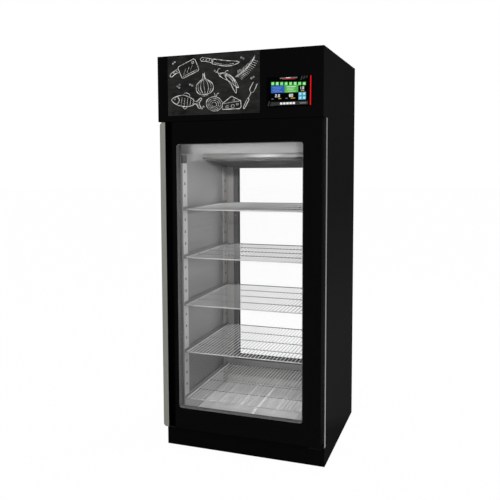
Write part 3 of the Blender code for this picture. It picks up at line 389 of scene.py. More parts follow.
seal_gauge, seal_clear, seal_rounding = 0.0040, 0.0003, 0.0006
seal_front, seal_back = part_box("plinth")[0].y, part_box("side_panel_left")[1].y
seal_low, seal_top = packed_low.z + seal_clear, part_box("side_panel_left")[0].z - seal_clear
seal_x, seal_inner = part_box("plinth")[1].x, half_width - seal_gauge
seal = bmesh.new()
for low_x, high_x, low_y, high_y in (
        (-seal_x, seal_x, seal_front, seal_front + seal_gauge),
        (-seal_x, seal_x, seal_back - seal_gauge, seal_back),
        (-half_width, -seal_inner, seal_front + seal_gauge, seal_back - seal_gauge),
        (seal_inner, half_width, seal_front + seal_gauge, seal_back - seal_gauge)):
    add_block(seal, (low_x, low_y, seal_low), (high_x, high_y, seal_top), seal_rounding, 1)
fit("floor_seal_strip", seal, black_coat)

nut_hole, nut_half, nut_height, nut_chamfer = 0.0082, 0.0095, 0.0075, 0.001
washer_radius, washer_height = 0.0135, 0.0015
nuts = bmesh.new()
for end in ends:
    for side, _ in sides:
        foot_low, foot_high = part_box(f"levelling_foot_{end}_{side}")
        foot_middle = ((foot_low.x + foot_high.x) / 2, (foot_low.y + foot_high.y) / 2, 0.0)
        top = foot_high.z - 0.0003
        add_turned(nuts, [(nut_hole, top - washer_height), (washer_radius, top - washer_height),
                          (washer_radius, top), (nut_hole, top)], foot_middle)
        top -= washer_height + 0.0002
        low = top - nut_height
        add_turned(nuts, [(nut_hole, low), (nut_half, low), (nut_half + nut_chamfer, low + nut_chamfer),
                          (nut_half + nut_chamfer, top - nut_chamfer), (nut_half, top), (nut_hole, top)],
                   foot_middle, steps=6)
fit("foot_lock_nuts", nuts, zinc)


# Insulation: rigid foam blown between the casing and the liners.
# It is painted nearly black, so that its edge in the groove behind the front frame reads as shade.

foam = Finish("dark_foam")
cells = foam.add("ShaderNodeTexVoronoi", {"Vector": foam.place(), "Scale": 700.0})
foam.surface(foam.mix(foam.cloud(30.0, 3.0), 0.0035, (0.0060, 0.0058, 0.0055)),
             foam.ramp(cells, 0.0, 0.6, 0.82, 0.95), (cells, 0.0004, 0.5), 0.05)
dress(foam, "insulation")


# Inner compartment: five liners of brushed stainless sheet, glued to the foam and sealed where they meet.
# The grain runs along each sheet. The joints have a bead of pale grey silicone.

def brushed(name, dark, light, along="X", rough=0.42, metal=1.0, grain=520.0):
    """Brushed metal: fine streaks along one axis, under a slow change of tone."""
    steel = Finish(name)
    streak = steel.cloud(1.0, 2.0, [grain if axis != along else grain / 90 for axis in "XYZ"])
    return steel.surface(steel.mix(streak * 0.45 + steel.cloud(2.2, 3.0) * 0.55, dark, light),
                         (streak, rough - 0.06, rough + 0.07), (streak, 0.00004, 0.25), 0.5, metal)


liner_x, liner_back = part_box("liner_right")[0].x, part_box("liner_rear")[0].y
liner_front, floor_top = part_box("liner_floor")[0].y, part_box("liner_floor")[1].z
top_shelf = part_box("wire_shelf_5")[1].z

wall_steel = brushed("brushed_wall_steel", 0.21, 0.25, "Y", metal=0.3)
# Painted light: paler above the top shelf as lamp light, and paler just above the floor as light thrown up from
# it.
wall_z = wall_steel.axes()[2]
lit_top = wall_steel.ramp(wall_z, top_shelf - 0.048, top_shelf + 0.052, 0.0, 0.5)
floor_bounce_foot = wall_steel.ramp(wall_z, floor_top + 0.13, floor_top + 0.08)
wall_steel.shade(lit_top, 0.34).shade(floor_bounce_foot, 0.53)
dress(wall_steel, "liner_left", "liner_right")

floor_steel = brushed("brushed_floor_steel", 0.84, 0.92, rough=0.48, metal=0.05)
# The floor turns darker towards the front.
front_darkening = floor_steel.ramp(floor_steel.axes()[1], liner_front + 0.368, liner_front + 0.118)
floor_steel.shade(front_darkening, 0.70)
dress(floor_steel, "liner_floor")

rear_steel = brushed("brushed_rear_steel", (0.285, 0.271, 0.262), (0.34, 0.323, 0.314), rough=0.50,
                     metal=0.3)
rear_z = rear_steel.axes()[2]
window_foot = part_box("rear_window_frame")[0].z
# Below the window the wall is painted flat: a darker band above the floor as painted shade, and a pale strip at
# the floor as painted light from it.
below_window = rear_steel.ramp(rear_z, window_foot + 0.03, window_foot - 0.02)
shaded_low_tone = rear_steel.mix(rear_steel.ramp(rear_z, floor_top + 0.07, floor_top + 0.12),
                          (0.26, 0.257, 0.255), (0.31, 0.306, 0.303))
floor_bounce_tone = rear_steel.mix(rear_steel.ramp(rear_z, floor_top + 0.055, floor_top + 0.03), shaded_low_tone,
                           (0.56, 0.555, 0.55))
rear_steel.shade(below_window, floor_bounce_tone)
dress(rear_steel, "liner_rear", "liner_ceiling")


def neighbours(path, number, closed):
    """The points before and after one point of a path."""
    if closed:
        return path[number - 1], path[(number + 1) % len(path)]
    return path[max(number - 1, 0)], path[min(number + 1, len(path) - 1)]


def add_wire(mesh, path, radius, sides=10, closed=False):
    """A round wire along a path of points, with flat ends."""
    path = [Vector(point) for point in path]
    rings = []
    side = None
    for number, point in enumerate(path):
        before, after = neighbours(path, number, closed)
        ahead = (after - before).normalized()
        side = ahead.orthogonal() if side is None else side - ahead * side.dot(ahead)
        side.normalize()
        up = ahead.cross(side)
        rings.append([mesh.verts.new(point + side * out.x + up * out.y) for out in circle(radius, sides)])
    for first, second in zip(rings, rings[1:] + rings[:1] if closed else rings[1:]):
        skin(mesh, first, second)
    if not closed:
        mesh.faces.new(rings[0][::-1])
        mesh.faces.new(rings[-1])


silicone = moulded("grey_silicone", 0.30, (0.36, 0.36, 0.355), rough=0.45, grain=300.0, depth=0.0001)
bead_radius, bead_end = 0.0022, 0.003
bead_seat = bead_radius * 0.35
bead_y, bead_z, bead_top = liner_back - bead_seat, floor_top + bead_seat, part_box("liner_ceiling")[0].z - 0.002
beads = bmesh.new()
for side in (-1, 1):
    bead_x = side * (liner_x - bead_seat)
    add_wire(beads, [(bead_x, bead_y, floor_top + 0.002), (bead_x, bead_y, bead_top)], bead_radius, 8)
    add_wire(beads, [(bead_x, liner_front + bead_end, bead_z), (bead_x, liner_back - bead_end, bead_z)],
             bead_radius, 8)
add_wire(beads, [(bead_end - liner_x, bead_y, bead_z), (liner_x - bead_end, bead_y, bead_z)], bead_radius, 8)
fit("liner_corner_beads", beads, silicone)


# Front frame: one folded stainless frame that closes the wall between casing and liner.
# Its flange shows as the pale strip beside the door. A grey plastic reveal lines the opening.

frame_steel = Finish("front_frame_steel")
_, strip_y, strip_z = frame_steel.axes()
strip_streak = frame_steel.cloud(1.0, 2.0, (600.0, 600.0, 8.0))
# Painted light and shade: the strip is paler towards the bottom, and its front and back edges are nearly black
# as the shade of the door and of the groove.
strip_shaded_height, strip_lit_height = 1.75, 0.10
strip_lit_low = frame_steel.ramp(strip_z, strip_shaded_height, strip_lit_height)
strip_front, strip_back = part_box("front_frame")[0].y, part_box("front_frame")[1].y
shaded_edges = (strip_y < strip_front + 0.0022) + (strip_y > strip_back - 0.0060)
strip_tone = frame_steel.mix(strip_lit_low * 0.8 + strip_streak * 0.2, 0.165, (0.33, 0.33, 0.328))
frame_steel.surface(frame_steel.mix(shaded_edges, strip_tone, 0.020), (strip_streak, 0.40, 0.52),
                    (strip_streak, 0.00004, 0.25), metal=0.2)
dress(frame_steel, "front_frame")
reveal_plastic = dress(moulded("grey_reveal_plastic", 0.120, 0.140, rough=0.6, gloss=0.02), "breaker_frame")


# Rear window: a grey plastic frame through the wall round one clear pane, held by a rubber bead.
# Raised countersunk screws hold the frame's inner face to the wall.

def see_through(glass, tint, wiped, least, most):
    """Clear glass with a weak reflection that grows towards the edge of view, and faint wiping marks."""
    through = glass.add("ShaderNodeBsdfTransparent", {"Color": tint})
    shine = glass.add("ShaderNodeBsdfGlossy", {"Color": 1.0, "Roughness": 0.03})
    amount = glass.add("ShaderNodeFresnel", {"IOR": 1.45}) * glass.spread(wiped, least, most)
    return glass.blend(amount, through, shine)


def clear_glass(name, tint, shine_share):
    """A pane that is clear all over."""
    glass = Finish(name)
    wiped = glass.cloud(7.0, 3.0, (1.0, 1.0, 0.35))
    glass.show(see_through(glass, tint, wiped, shine_share * 0.8, shine_share * 1.2))
    glass.tree.nodes.remove(glass.shader)
    return glass


dress(moulded("grey_window_plastic", 0.105, 0.125, rough=0.6, gloss=0.02), "rear_window_frame")
dress(clear_glass("rear_window_glass", (0.995, 0.997, 0.995), 0.15), "rear_window_glass")


def add_ring_frame(mesh, section, low_x, high_x, low_z, high_z, radius=0.0, steps=6):
    """A frame in the X-Z plane: section points are (outward from the rectangle, y), mitred or rounded."""
    rings = []
    for sign_x, sign_z, turn in ((1, 1, 0), (-1, 1, 1), (-1, -1, 2), (1, -1, 3)):
        x, z = (high_x if sign_x > 0 else low_x), (high_z if sign_z > 0 else low_z)
        for way_x, way_z in turns(turn * 90, turn * 90 + 90, steps) if radius else [(sign_x, sign_z)]:
            at_x, at_z = x + radius * (way_x - sign_x), z + radius * (way_z - sign_z)
            rings.append([mesh.verts.new((at_x + out * way_x, y, at_z + out * way_z)) for out, y in section])
    for first, second in zip(rings, rings[1:] + rings[:1]):
        skin(mesh, first, second)


def half_round(out, y, radius, reach, steps=6):
    """Section of a bead: a flat back at y, rounded towards the side that reach points to."""
    return [(out - radius * cos, y + reach * radius * sin) for cos, sin in turns(0, 180, steps)]


rubber = moulded("black_rubber", 0.010, 0.018, rough=0.75, grain=900.0, depth=0.0001, gloss=0.2)
pane_low, pane_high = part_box("rear_window_glass")
pane_room = 0.0003
opening_x = pane_high.x + pane_room
window_beads = bmesh.new()
for pane_y, reach in ((pane_low.y - 0.0002, -1), (pane_high.y + 0.0002, 1)):
    add_ring_frame(window_beads, half_round(-0.0022, pane_y, 0.0021, reach), -opening_x, opening_x,
                   pane_low.z - pane_room, pane_high.z + pane_room)
fit("rear_window_beads", window_beads, rubber)


def add_screw(mesh, centre, axis, radius=0.0035, height=0.0011, steps=16):
    """A low raised screw head with a cross recess, on a face that looks along the axis."""
    seat = Matrix.Translation(centre) @ stood_on[axis]
    cross = [0.50 if step % 4 == 0 else 0.16 for step in range(steps)]
    inner = [mesh.verts.new(seat @ Vector((point.x * out, point.y * out, height * 0.94)))
             for point, out in zip(circle(radius, steps), cross)]
    bottom = mesh.verts.new(seat @ Vector((0, 0, height * 0.25)))
    rings = [inner, *([mesh.verts.new(seat @ point) for point in circle(radius * out, steps, height * up)]
                      for out, up in ((0.55, 0.92), (0.88, 0.55), (1.0, 0.0)))]
    for first, second in zip(rings, rings[1:]):
        skin(mesh, first, second)
    for step in range(steps):
        mesh.faces.new((inner[step], bottom, inner[(step + 1) % steps]))
    mesh.faces.new(rings[-1])


screw_steel = brushed("screw_steel", 0.45, 0.60, rough=0.35, grain=900.0)
frame_low, frame_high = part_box("rear_window_frame")
screw_rows, screw_margin, screw_x = 5, 0.03, (frame_high.x + opening_x) / 2
screw_step = (frame_high.z - frame_low.z - 2 * screw_margin) / (screw_rows - 1)
rear_screws = bmesh.new()
for row in range(screw_rows):
    screw_z = frame_low.z + screw_margin + row * screw_step
    for side in (-1, 1):
        add_screw(rear_screws, (side * screw_x, frame_low.y, screw_z), "-Y",
                  radius=0.0032, height=0.0010)
fit("rear_window_screws", rear_screws, screw_steel)


# Uprights: four channels folded from stainless sheet, slotted for the shelf rails, screwed to the walls.
# A black strip inside each one and a black lining round each slot are painted shade, so the slots read dark. A
# plastic block sits on each front one.

# The rear uprights are the same steel as the front ones, painted darker as shade.
upright_steels = {"front": ("upright_steel", 0.52, 0.62), "rear": ("rear_upright_steel", 0.36, 0.43)}
for end, tones in upright_steels.items():
    upright_steel = brushed(*tones, "Z", rough=0.46, metal=0.4)
    dress(upright_steel, *(f"upright_{end}_{side}" for side, _ in sides))

slot_pitch, slot_first, slot_height, slot_width = 0.065, 1.489, 0.013, 0.006
slot_lining_proud, slot_lining_lip, slot_lining_wall, slot_lining_depth = 0.00020, 0.0032, 0.0006, 0.0014
slot_lining_outer = (slot_width / 2 + slot_lining_lip, slot_height / 2)
slot_lining_inner = (slot_width / 2 - slot_lining_wall, (slot_height - slot_lining_lip) / 2)
block_height, block_clear, block_rounding = 0.044, 0.002, 0.0012
sheet_gauge, slot_shade_margin, slot_shade_clear = 0.0015, 0.004, 0.0002
# Painted shade: the black slot linings and the black strips inside the channels make the slots read as dark
# holes.
slot_lining_finish = moulded("slot_bush_plastic", 0.012, 0.020, rough=0.6, gloss=0.05)
block_finish = moulded("upright_block_plastic", 0.080, 0.100, rough=0.5, gloss=0.02)
slot_shade = moulded("black_felt", 0.006, 0.012, rough=0.95, grain=2500.0, depth=0.0002, gloss=0.0)
slot_linings, blocks, slot_shade_strips = bmesh.new(), bmesh.new(), bmesh.new()
for end in ends:
    for side, sign in sides:
        post_low, post_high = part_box(f"upright_{end}_{side}")
        face_x, back_x = (post_high.x, post_low.x) if sign < 0 else (post_low.x, post_high.x)
        middle_y = (post_low.y + post_high.y) / 2
        slot_z = slot_first
        while slot_z > post_low.z + slot_height * 2:
            face_out, face_in, back_out, back_in = (
                [slot_linings.verts.new((face_x + sign * depth, middle_y + way_y * half_y, slot_z + way_z * half_z))
                 for way_y, way_z in ((-1, -1), (1, -1), (1, 1), (-1, 1))]
                for depth, (half_y, half_z) in ((-slot_lining_proud, slot_lining_outer), (-slot_lining_proud, slot_lining_inner),
                                                (-0.00003, slot_lining_outer), (slot_lining_depth, slot_lining_inner)))
            for first, second in ((face_out, face_in), (face_out, back_out), (face_in, back_in)):
                skin(slot_linings, first, second)
            slot_z -= slot_pitch
        near_x, far_x = sorted((face_x + sign * (sheet_gauge + slot_shade_clear), back_x - sign * 0.0012))
        add_block(slot_shade_strips, (near_x, post_low.y + slot_shade_margin, post_low.z + slot_shade_margin),
                  (far_x, post_high.y - slot_shade_margin, post_high.z - slot_shade_margin))
        if end == "front":
            block_low = post_high.z + block_clear
            add_block(blocks, (post_low.x, post_low.y, block_low),
                      (post_high.x, post_high.y, block_low + block_height), block_rounding)
fit("upright_slot_shade_linings", slot_linings, slot_lining_finish, sharp=20.0)
fit("upright_top_blocks", blocks, block_finish)
fit("upright_slot_shade_strips", slot_shade_strips, slot_shade)

dark_screw = moulded("black_screw", 0.012, 0.020, rough=0.5, gloss=0.1)
screw_aside, screw_first, screw_pitch = 0.0175, 0.379, 0.566
behind_front, before_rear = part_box("upright_front_left")[1].y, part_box("upright_rear_left")[0].y
wall_screws = bmesh.new()
for sign in (-1, 1):
    for screw_y in (behind_front + screw_aside, before_rear - screw_aside):
        for level in range(3):
            add_screw(wall_screws, (sign * liner_x, screw_y, screw_first + level * screw_pitch),
                      "X" if sign < 0 else "-X", radius=0.0042, height=0.0012)
fit("upright_wall_screws", wall_screws, dark_screw)


# Shelf rails and wire shelves: five removable shelves of welded, polished stainless wire.
# A bent frame wire carries three cross wires, and 33 wires are welded over them from front to back.

rail_steel = brushed("rail_steel", 0.36, 0.42, "Y", metal=0.3)
# Painted shade: faces that look sideways, the rail's upright web, are darker.
rail_steel.shade(abs(rail_steel.facing()[0]), 0.23)
dress(rail_steel, *(f"shelf_rail_{side}_{level}" for side, _ in sides for level in range(1, 6)))

shelf_steel = Finish("shelf_wire_steel")
_, wire_y, wire_z = shelf_steel.axes()
wire_front = shelf_steel.facing()[1]
wire_streak = shelf_steel.cloud(1.0, 2.0, (700.0, 8.0, 700.0))
# Painted light and shade: the front frame wire is pale, lower shelves are paler than upper ones, and wire faces
# that look to the front are nearly black.
lit_front_bar = wire_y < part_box("wire_shelf_1")[0].y + 0.0065
dim_height, bright_height = 1.10, 0.40
lit_tone = shelf_steel.mix(shelf_steel.ramp(wire_z, dim_height, bright_height), 0.34, 0.68)
streaked_tone = shelf_steel.mix(wire_streak * 0.25, lit_tone, 0.50)
shaded_face_tone = shelf_steel.mix(shelf_steel.ramp(wire_front * -1.0, 0.35, 0.60), streaked_tone, 0.05)
shelf_steel.surface(shelf_steel.mix(lit_front_bar, shaded_face_tone, 0.62), (wire_streak, 0.38, 0.50),
                    (wire_streak, 0.00003, 0.2), 0.1, 0.15)


def rounded_loop(low_x, high_x, low_y, high_y, z, radius, steps=5):
    """Points round a rectangle with rounded corners, at one height."""
    points = []
    for x, y, sign_x, sign_y, turn in ((high_x, high_y, 1, 1, 0), (low_x, high_y, -1, 1, 1),
                                       (low_x, low_y, -1, -1, 2), (high_x, low_y, 1, -1, 3)):
        for cos, sin in turns(turn * 90, turn * 90 + 90, steps):
            points.append((x + radius * (cos - sign_x), y + radius * (sin - sign_y), z))
    return points


frame_wire, thin_wire, frame_bend = 0.003, 0.0021, 0.011
wire_count, cross_count = 33, 3
for level in range(1, 6):
    shelf_low, shelf_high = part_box(f"wire_shelf_{level}")
    shelf_z = (shelf_low.z + shelf_high.z) / 2
    edge_x, near_y, far_y = shelf_high.x - frame_wire, shelf_low.y + frame_wire, shelf_high.y - frame_wire
    shelf = bmesh.new()
    add_wire(shelf, rounded_loop(-edge_x, edge_x, near_y, far_y, shelf_z, frame_bend), frame_wire, 10, True)
    for number in range(1, cross_count + 1):
        cross_y = near_y + number * (far_y - near_y) / (cross_count + 1)
        cross_z = shelf_z - frame_wire + thin_wire
        add_wire(shelf, [(-edge_x, cross_y, cross_z), (edge_x, cross_y, cross_z)], thin_wire, 8)
    span, top_z = edge_x - frame_wire, shelf_z + frame_wire - thin_wire
    for number in range(1, wire_count + 1):
        wire_x = -span + number * 2 * span / (wire_count + 1)
        add_wire(shelf, [(wire_x, near_y, top_z), (wire_x, far_y, top_z)], thin_wire, 8)
    fit(f"welded_wire_shelf_{level}", shelf, shelf_steel, stands_for=f"wire_shelf_{level}")


# Valance and lamp: a stainless strip behind the top of the door hides the light under the ceiling.
# The lamp is a row of white diodes in an aluminium channel behind a frosted cover.

valance_steel = brushed("valance_steel", 0.245, 0.275, rough=0.48, metal=0.2)
# Painted light: the strip is paler towards its top, to even out how it is lit.
valance_foot, lit_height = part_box("valance")[0].z, 0.062
lit_part = valance_steel.ramp(valance_steel.axes()[2], valance_foot, valance_foot + lit_height)
valance_steel.shade(lit_part, 0.56)
dress(valance_steel, "valance")

lamp_cover = Finish("frosted_lamp_cover")
half_pitch = 0.010
diode = lamp_cover.ramp(lamp_cover.axes()[0].maths("PINGPONG", half_pitch), 0.0, half_pitch, 1.0, 0.0)
lamp_tone = lamp_cover.mix(diode, (0.80, 0.81, 0.82), (0.90, 0.91, 0.92))
lamp_cover.surface(lamp_tone, 0.4, gloss=0.5, glow=(lamp_cover.mix(diode, (0.70, 0.72, 0.74), 1.0), 1.6))
dress(lamp_cover, "led_strip")

lamp_low, lamp_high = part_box("led_strip")
cabinet_light = bpy.data.lights.new("lamp_in_cabinet", "POINT")
cabinet_light.energy, cabinet_light.shadow_soft_size = 20.0, 0.012
even = Finish(cabinet_light)
even.fill(even.shader, {"Strength": even.add("ShaderNodeLightFalloff", {"Strength": 1.0}, "Constant")})
light_x, light_back, light_drop = -0.03, 0.010, 0.020
stand("lamp_in_cabinet", cabinet_light, (light_x, lamp_high.y + light_back, lamp_low.z - light_drop))

cap_out, cap_half, cap_lip = 0.004, 0.003, 0.001
caps = bmesh.new()
for cap_x in (-lamp_high.x - cap_out, lamp_high.x + cap_out):
    add_block(caps, (cap_x - cap_half, lamp_low.y - cap_lip, lamp_low.z - cap_lip),
              (cap_x + cap_half, lamp_high.y + cap_lip, lamp_high.z - 0.0002), 0.0008)
fit("lamp_end_caps", caps, reveal_plastic)


# Door: a black frame bonded behind a front pane, with a second pane towards the cold side.
# A grey spacer lines the window between and behind the panes, with a paler bead against the front pane.

frame_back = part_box("door_frame")[1].y
dress(powder_coat("door_black", 0.0055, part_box("door_frame")[1].x), "door_frame")

window_low, window_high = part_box("door_pane_inner")
window_x = window_high.x + pane_room
window_bottom, window_top = window_low.z - pane_room, window_high.z + pane_room
window_radius = 0.014

door_glass = Finish("door_front_glass")
glass_x, _, glass_z = door_glass.axes()
middle_z, half_z = (window_bottom + window_top) / 2, (window_top - window_bottom) / 2
beyond_x = (abs(glass_x) - (window_x - window_radius)).maths("MAXIMUM", 0.0)
beyond_z = (abs(glass_z - middle_z) - (half_z - window_radius)).maths("MAXIMUM", 0.0)
printed = (beyond_x * beyond_x + beyond_z * beyond_z).maths("SQRT") > window_radius
door_glass.surface(door_glass.mix(door_glass.cloud(9.0, 3.0), 0.0029, 0.0033),
                   (door_glass.cloud(25.0), 0.28, 0.36))
door_wiped = door_glass.cloud(6.0, 3.0, (1.0, 1.0, 0.3))
open_glass = see_through(door_glass, (0.997, 0.998, 0.997), door_wiped, 0.10, 0.14)
door_glass.show(door_glass.blend(printed, open_glass, door_glass.plain))
dress(door_glass, "door_pane_outer")
dress(clear_glass("door_inner_glass", (0.997, 0.998, 0.997), 0.12), "door_pane_inner")

fine_moulded = partial(moulded, grain=1200.0, depth=0.00005, gloss=0.02)
lining_plastic = fine_moulded("grey_lining", 0.100, 0.115, rough=0.6)
pane_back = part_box("door_pane_outer")[1].y
lining_gauge, lining_proud = 0.0009, 0.0001
add_window_frame = partial(add_ring_frame, low_x=-window_x, high_x=window_x, low_z=window_bottom,
                           high_z=window_top, radius=window_radius)
lining = bmesh.new()
for near, far in ((pane_back + 0.0004, window_low.y - pane_room),
                  (window_high.y + pane_room, frame_back - 0.0002)):
    add_window_frame(lining, [(-lining_proud, near), (-lining_proud, far), (-lining_gauge, far),
                              (-lining_gauge, near)])
fit("door_window_lining", lining, lining_plastic, "front_door")

bead_plastic = fine_moulded("lining_front_edge", 0.150, 0.170, rough=0.5)
front_bead = bmesh.new()
add_window_frame(front_bead, half_round(-0.0022, pane_back + 0.0003, 0.0011, 1))
fit("door_lining_front_bead", front_bead, bead_plastic, "front_door")


# Door handle: an aluminium extrusion down the free edge, anodised grey, with a finger channel behind its lip.
# Moulded plugs close the channel at the top and bottom.

handle_finish = Finish("anodised_handle")
handle_x, handle_y, _ = handle_finish.axes()
drawn = handle_finish.cloud(1.0, 2.0, (700.0, 700.0, 3.0))
slow_band = handle_finish.cloud(1.0, 1.0, (60.0, 60.0, 1.2))
lip_depth, lip_width = 0.006, 0.0306
lip_front = (handle_y < front_y + lip_depth) * (handle_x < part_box("door_handle")[0].x + lip_width)
handle_tone = handle_finish.mix(drawn * 0.35 + slow_band * 0.65, (0.190, 0.188, 0.172), (0.235, 0.233, 0.215))
# Painted shade: every face but the front of the lip is nearly black, as the shade in the finger channel and
# behind the lip.
handle_finish.surface(handle_finish.mix(1 - lip_front, handle_tone, 0.0015), (drawn, 0.36, 0.48),
                      (drawn, 0.00003, 0.25), metal=lip_front * 0.15)
dress(handle_finish, "door_handle")


# Door gasket: a soft black bellows with a magnetic strip, pushed into the frame all round.
# It is one moulding, with two folds on each side of the strip.

gasket_low, gasket_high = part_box("door_gasket")
gasket_back, gasket_face, gasket_wide = gasket_low.y, gasket_high.y, gasket_high.x - liner_x
gasket_side = [(0.0, gasket_back), (0.0, gasket_back + 0.003), (0.003, gasket_back + 0.0045),
               (0.0005, gasket_back + 0.006), (0.0, gasket_back + 0.0075), (0.0025, gasket_back + 0.009),
               (0.0005, gasket_face - 0.0015), (0.002, gasket_face)]
gasket_section = gasket_side + [(gasket_wide - out, y) for out, y in reversed(gasket_side)]
gasket = bmesh.new()
add_ring_frame(gasket, gasket_section, -liner_x, liner_x, gasket_low.z + 0.022, gasket_high.z - 0.022)
fit("door_bellows_gasket", gasket, rubber, "front_door", stands_for="door_gasket")


# Hinges: a black steel plate with a pin under the door and another in the header.
# Both stay on the cabinet, and the door turns on their pins.

bracket_steel = Finish("black_bracket_steel")
bracket_wear = bracket_steel.cloud(60.0, 3.0)
bracket_steel.surface(bracket_steel.mix(bracket_wear, 0.003, 0.006), (bracket_wear, 0.45, 0.6))
dress(bracket_steel, "hinge_bracket_bottom", "hinge_bracket_top")


# Evaporator: a folded stainless cover under the ceiling hides the coil. A fan draws air up through its floor.
# The coil is copper tube expanded into aluminium fins, with soldered bends at both ends.

cover_steel = Finish("evaporator_cover_steel")
cover_x, cover_y, cover_z = cover_steel.axes()
cover_front = cover_steel.facing()[1]
cover_low, cover_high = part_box("evaporator_cover")
cover_streak = cover_steel.cloud(1.0, 2.0, (6.0, 600.0, 600.0))
nose_foot, nose_depth = cover_low.z + 0.0562, 0.03
# Painted light and shade: the underside is dark, nearly black where it looks to the front; the nose is pale,
# with a painted highlight near the middle, and a little paler to the right. Further back the cover is a plain
# darker steel.
underside = cover_z < nose_foot
under_shade_tone = cover_steel.mix(cover_steel.ramp(cover_front * -1.0, 0.02, 0.25), 0.200, 0.010)
nose_light_ramp = cover_steel.mix(cover_steel.ramp(cover_x, -0.05, 0.12), 0.25, 0.35)
nose_highlight_tone = cover_steel.mix(cover_steel.ramp(abs(cover_x - 0.01), 0.13, 0.02), nose_light_ramp, 0.70)
outer_tone = cover_steel.mix(cover_y < cover_low.y + nose_depth, 0.10, nose_highlight_tone)
cover_rough = cover_steel.spread(cover_streak, 0.13, 0.18) + underside * 0.6
cover_metal = (1 - underside) * cover_steel.ramp(cover_streak, 0.2, 0.8, 0.45, 0.55)
cover_steel.surface(cover_steel.mix(underside, outer_tone, under_shade_tone), cover_rough,
                    (cover_streak, 0.00003, 0.2), metal=cover_metal)
dress(cover_steel, "evaporator_cover")

copper = brushed("copper_tube", (0.42, 0.20, 0.12), (0.56, 0.28, 0.17), rough=0.32, grain=300.0)
fin_finish = brushed("aluminium_fins", (0.50, 0.51, 0.52), (0.66, 0.67, 0.68), "Z", metal=0.7, grain=260.0)
fin_sheet, tube_radius, bend_room, tube_proud = 0.0004, 0.0048, 0.016, 0.004


def coil(name, node, fin_pitch, rows, files):
    """Fins that fill the coil's box, with tubes along X through them and a bend round each pair of ends."""
    low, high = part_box(node)
    start_x, end_x = low.x + bend_room, high.x - bend_room
    fins, tubes = bmesh.new(), bmesh.new()
    count = int((end_x - start_x) / fin_pitch)
    for number in range(count + 1):
        fin_x = start_x + number * (end_x - start_x) / count
        add_block(fins, (fin_x - fin_sheet / 2, low.y, low.z), (fin_x + fin_sheet / 2, high.y, high.z))
    turn = (high.z - low.z) / rows / 2
    out = min(turn, bend_room - tube_radius - 0.005)
    for file in range(files):
        tube_y = low.y + (file + 0.5) * (high.y - low.y) / files
        route = []
        for row in range(rows):
            height, way = low.z + (2 * row + 1) * turn, -1 if row % 2 else 1
            near_x, far_x = (start_x - tube_proud, end_x + tube_proud)[::way]
            route += [(near_x, tube_y, height), (far_x, tube_y, height)]
            for cos, sin in turns(0, 180, 6)[1:-1] if row + 1 < rows else ():
                route.append((far_x + way * out * sin, tube_y, height + turn * (1 - cos)))
        add_wire(tubes, route, tube_radius)
    fit(f"{name}_fins", fins, fin_finish, stands_for=node)
    fit(f"{name}_tubes", tubes, copper)


coil("evaporator", "evaporator_coil", fin_pitch=0.0075, rows=4, files=2)
blade_count, blade_gauge, blade_lean, blade_chord = 5, 0.0011, 0.55, 0.95


def fan_rotor(name, node, body, axis, centre, tip, hub, steps_out=7, steps_round=6):
    """One moulded rotor: hub cap, boss and curved blades that fill its depth and lean towards their tips."""
    low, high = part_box(node)
    depth = (high - low)["XYZ".index(axis)]
    rotor = bmesh.new()
    cap = ((0.0, 0.46), (0.55, 0.46), (0.9, 0.36), (1.0, 0.2), (1.0, -0.46), (0.86, -0.46), (0.80, -0.1),
           (0.0, -0.1))
    add_turned(rotor, [(hub * out, depth * up) for out, up in cap], centre, axis, 28)
    root = hub * 0.97
    for blade in range(blade_count):
        turned = Matrix.Rotation(2 * math.pi * blade / blade_count, 4, "Z")
        seat = Matrix.Translation(centre) @ stood_on[axis] @ turned
        under, over = [], []
        for layer, lift in ((under, -blade_gauge / 2), (over, blade_gauge / 2)):
            for share in (out / (steps_out - 1) for out in range(steps_out)):
                radius = root + (tip - root) * share
                belly = 0.75 + 0.25 * math.sin(math.pi * min(share + 0.25, 1))
                width = blade_chord * (1.0 - 0.18 * share) * belly
                row = []
                for across in (step / (steps_round - 1) - 0.5 for step in range(steps_round)):
                    angle = blade_lean * share * share + across * width
                    rise = (across + 0.20 * (1 - 4 * across * across) - 0.06) * depth * 0.80
                    at = Vector((radius * math.cos(angle), radius * math.sin(angle), rise + lift))
                    row.append(rotor.verts.new(seat @ at))
                layer.append(row)
            for inner, outer in zip(layer, layer[1:]):
                skin(rotor, inner, outer, closed=False)
        for edge in (0, -1):
            skin(rotor, [row[edge] for row in under], [row[edge] for row in over], closed=False)
            skin(rotor, under[edge], over[edge], closed=False)
    fit(name, rotor, black_moulding, body, stands_for=node, sharp=40.0)


cold_low, cold_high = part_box("evaporator_fan")
cold_centre = Vector((0.0, (cold_low.y + cold_high.y) / 2, (cold_low.z + cold_high.z) / 2))
fan_rotor("evaporator_fan_rotor", "evaporator_fan", "evaporator_rotor", "Z", cold_centre,
          tip=cold_high.x - 0.001, hub=0.024)


def add_rings(mesh, seat, radii, wire):
    """The rings of a fan guard. The seat stands Z along the fan's axis."""
    for radius in radii:
        add_wire(mesh, [seat @ point for point in circle(radius, 48)], wire, 6, True)


def add_spokes(mesh, seat, count, first, points, wire, sides):
    """The spokes of a fan guard, through (radius, height) points, the first at an angle."""
    centre, up = seat.translation, seat.to_3x3() @ Vector((0.0, 0.0, 1.0))
    for number in range(count):
        angle = first + 2 * math.pi * number / count
        out = seat.to_3x3() @ Vector((math.cos(angle), math.sin(angle), 0.0))
        add_wire(mesh, [centre + out * radius + up * height for radius, height in points], wire, sides)


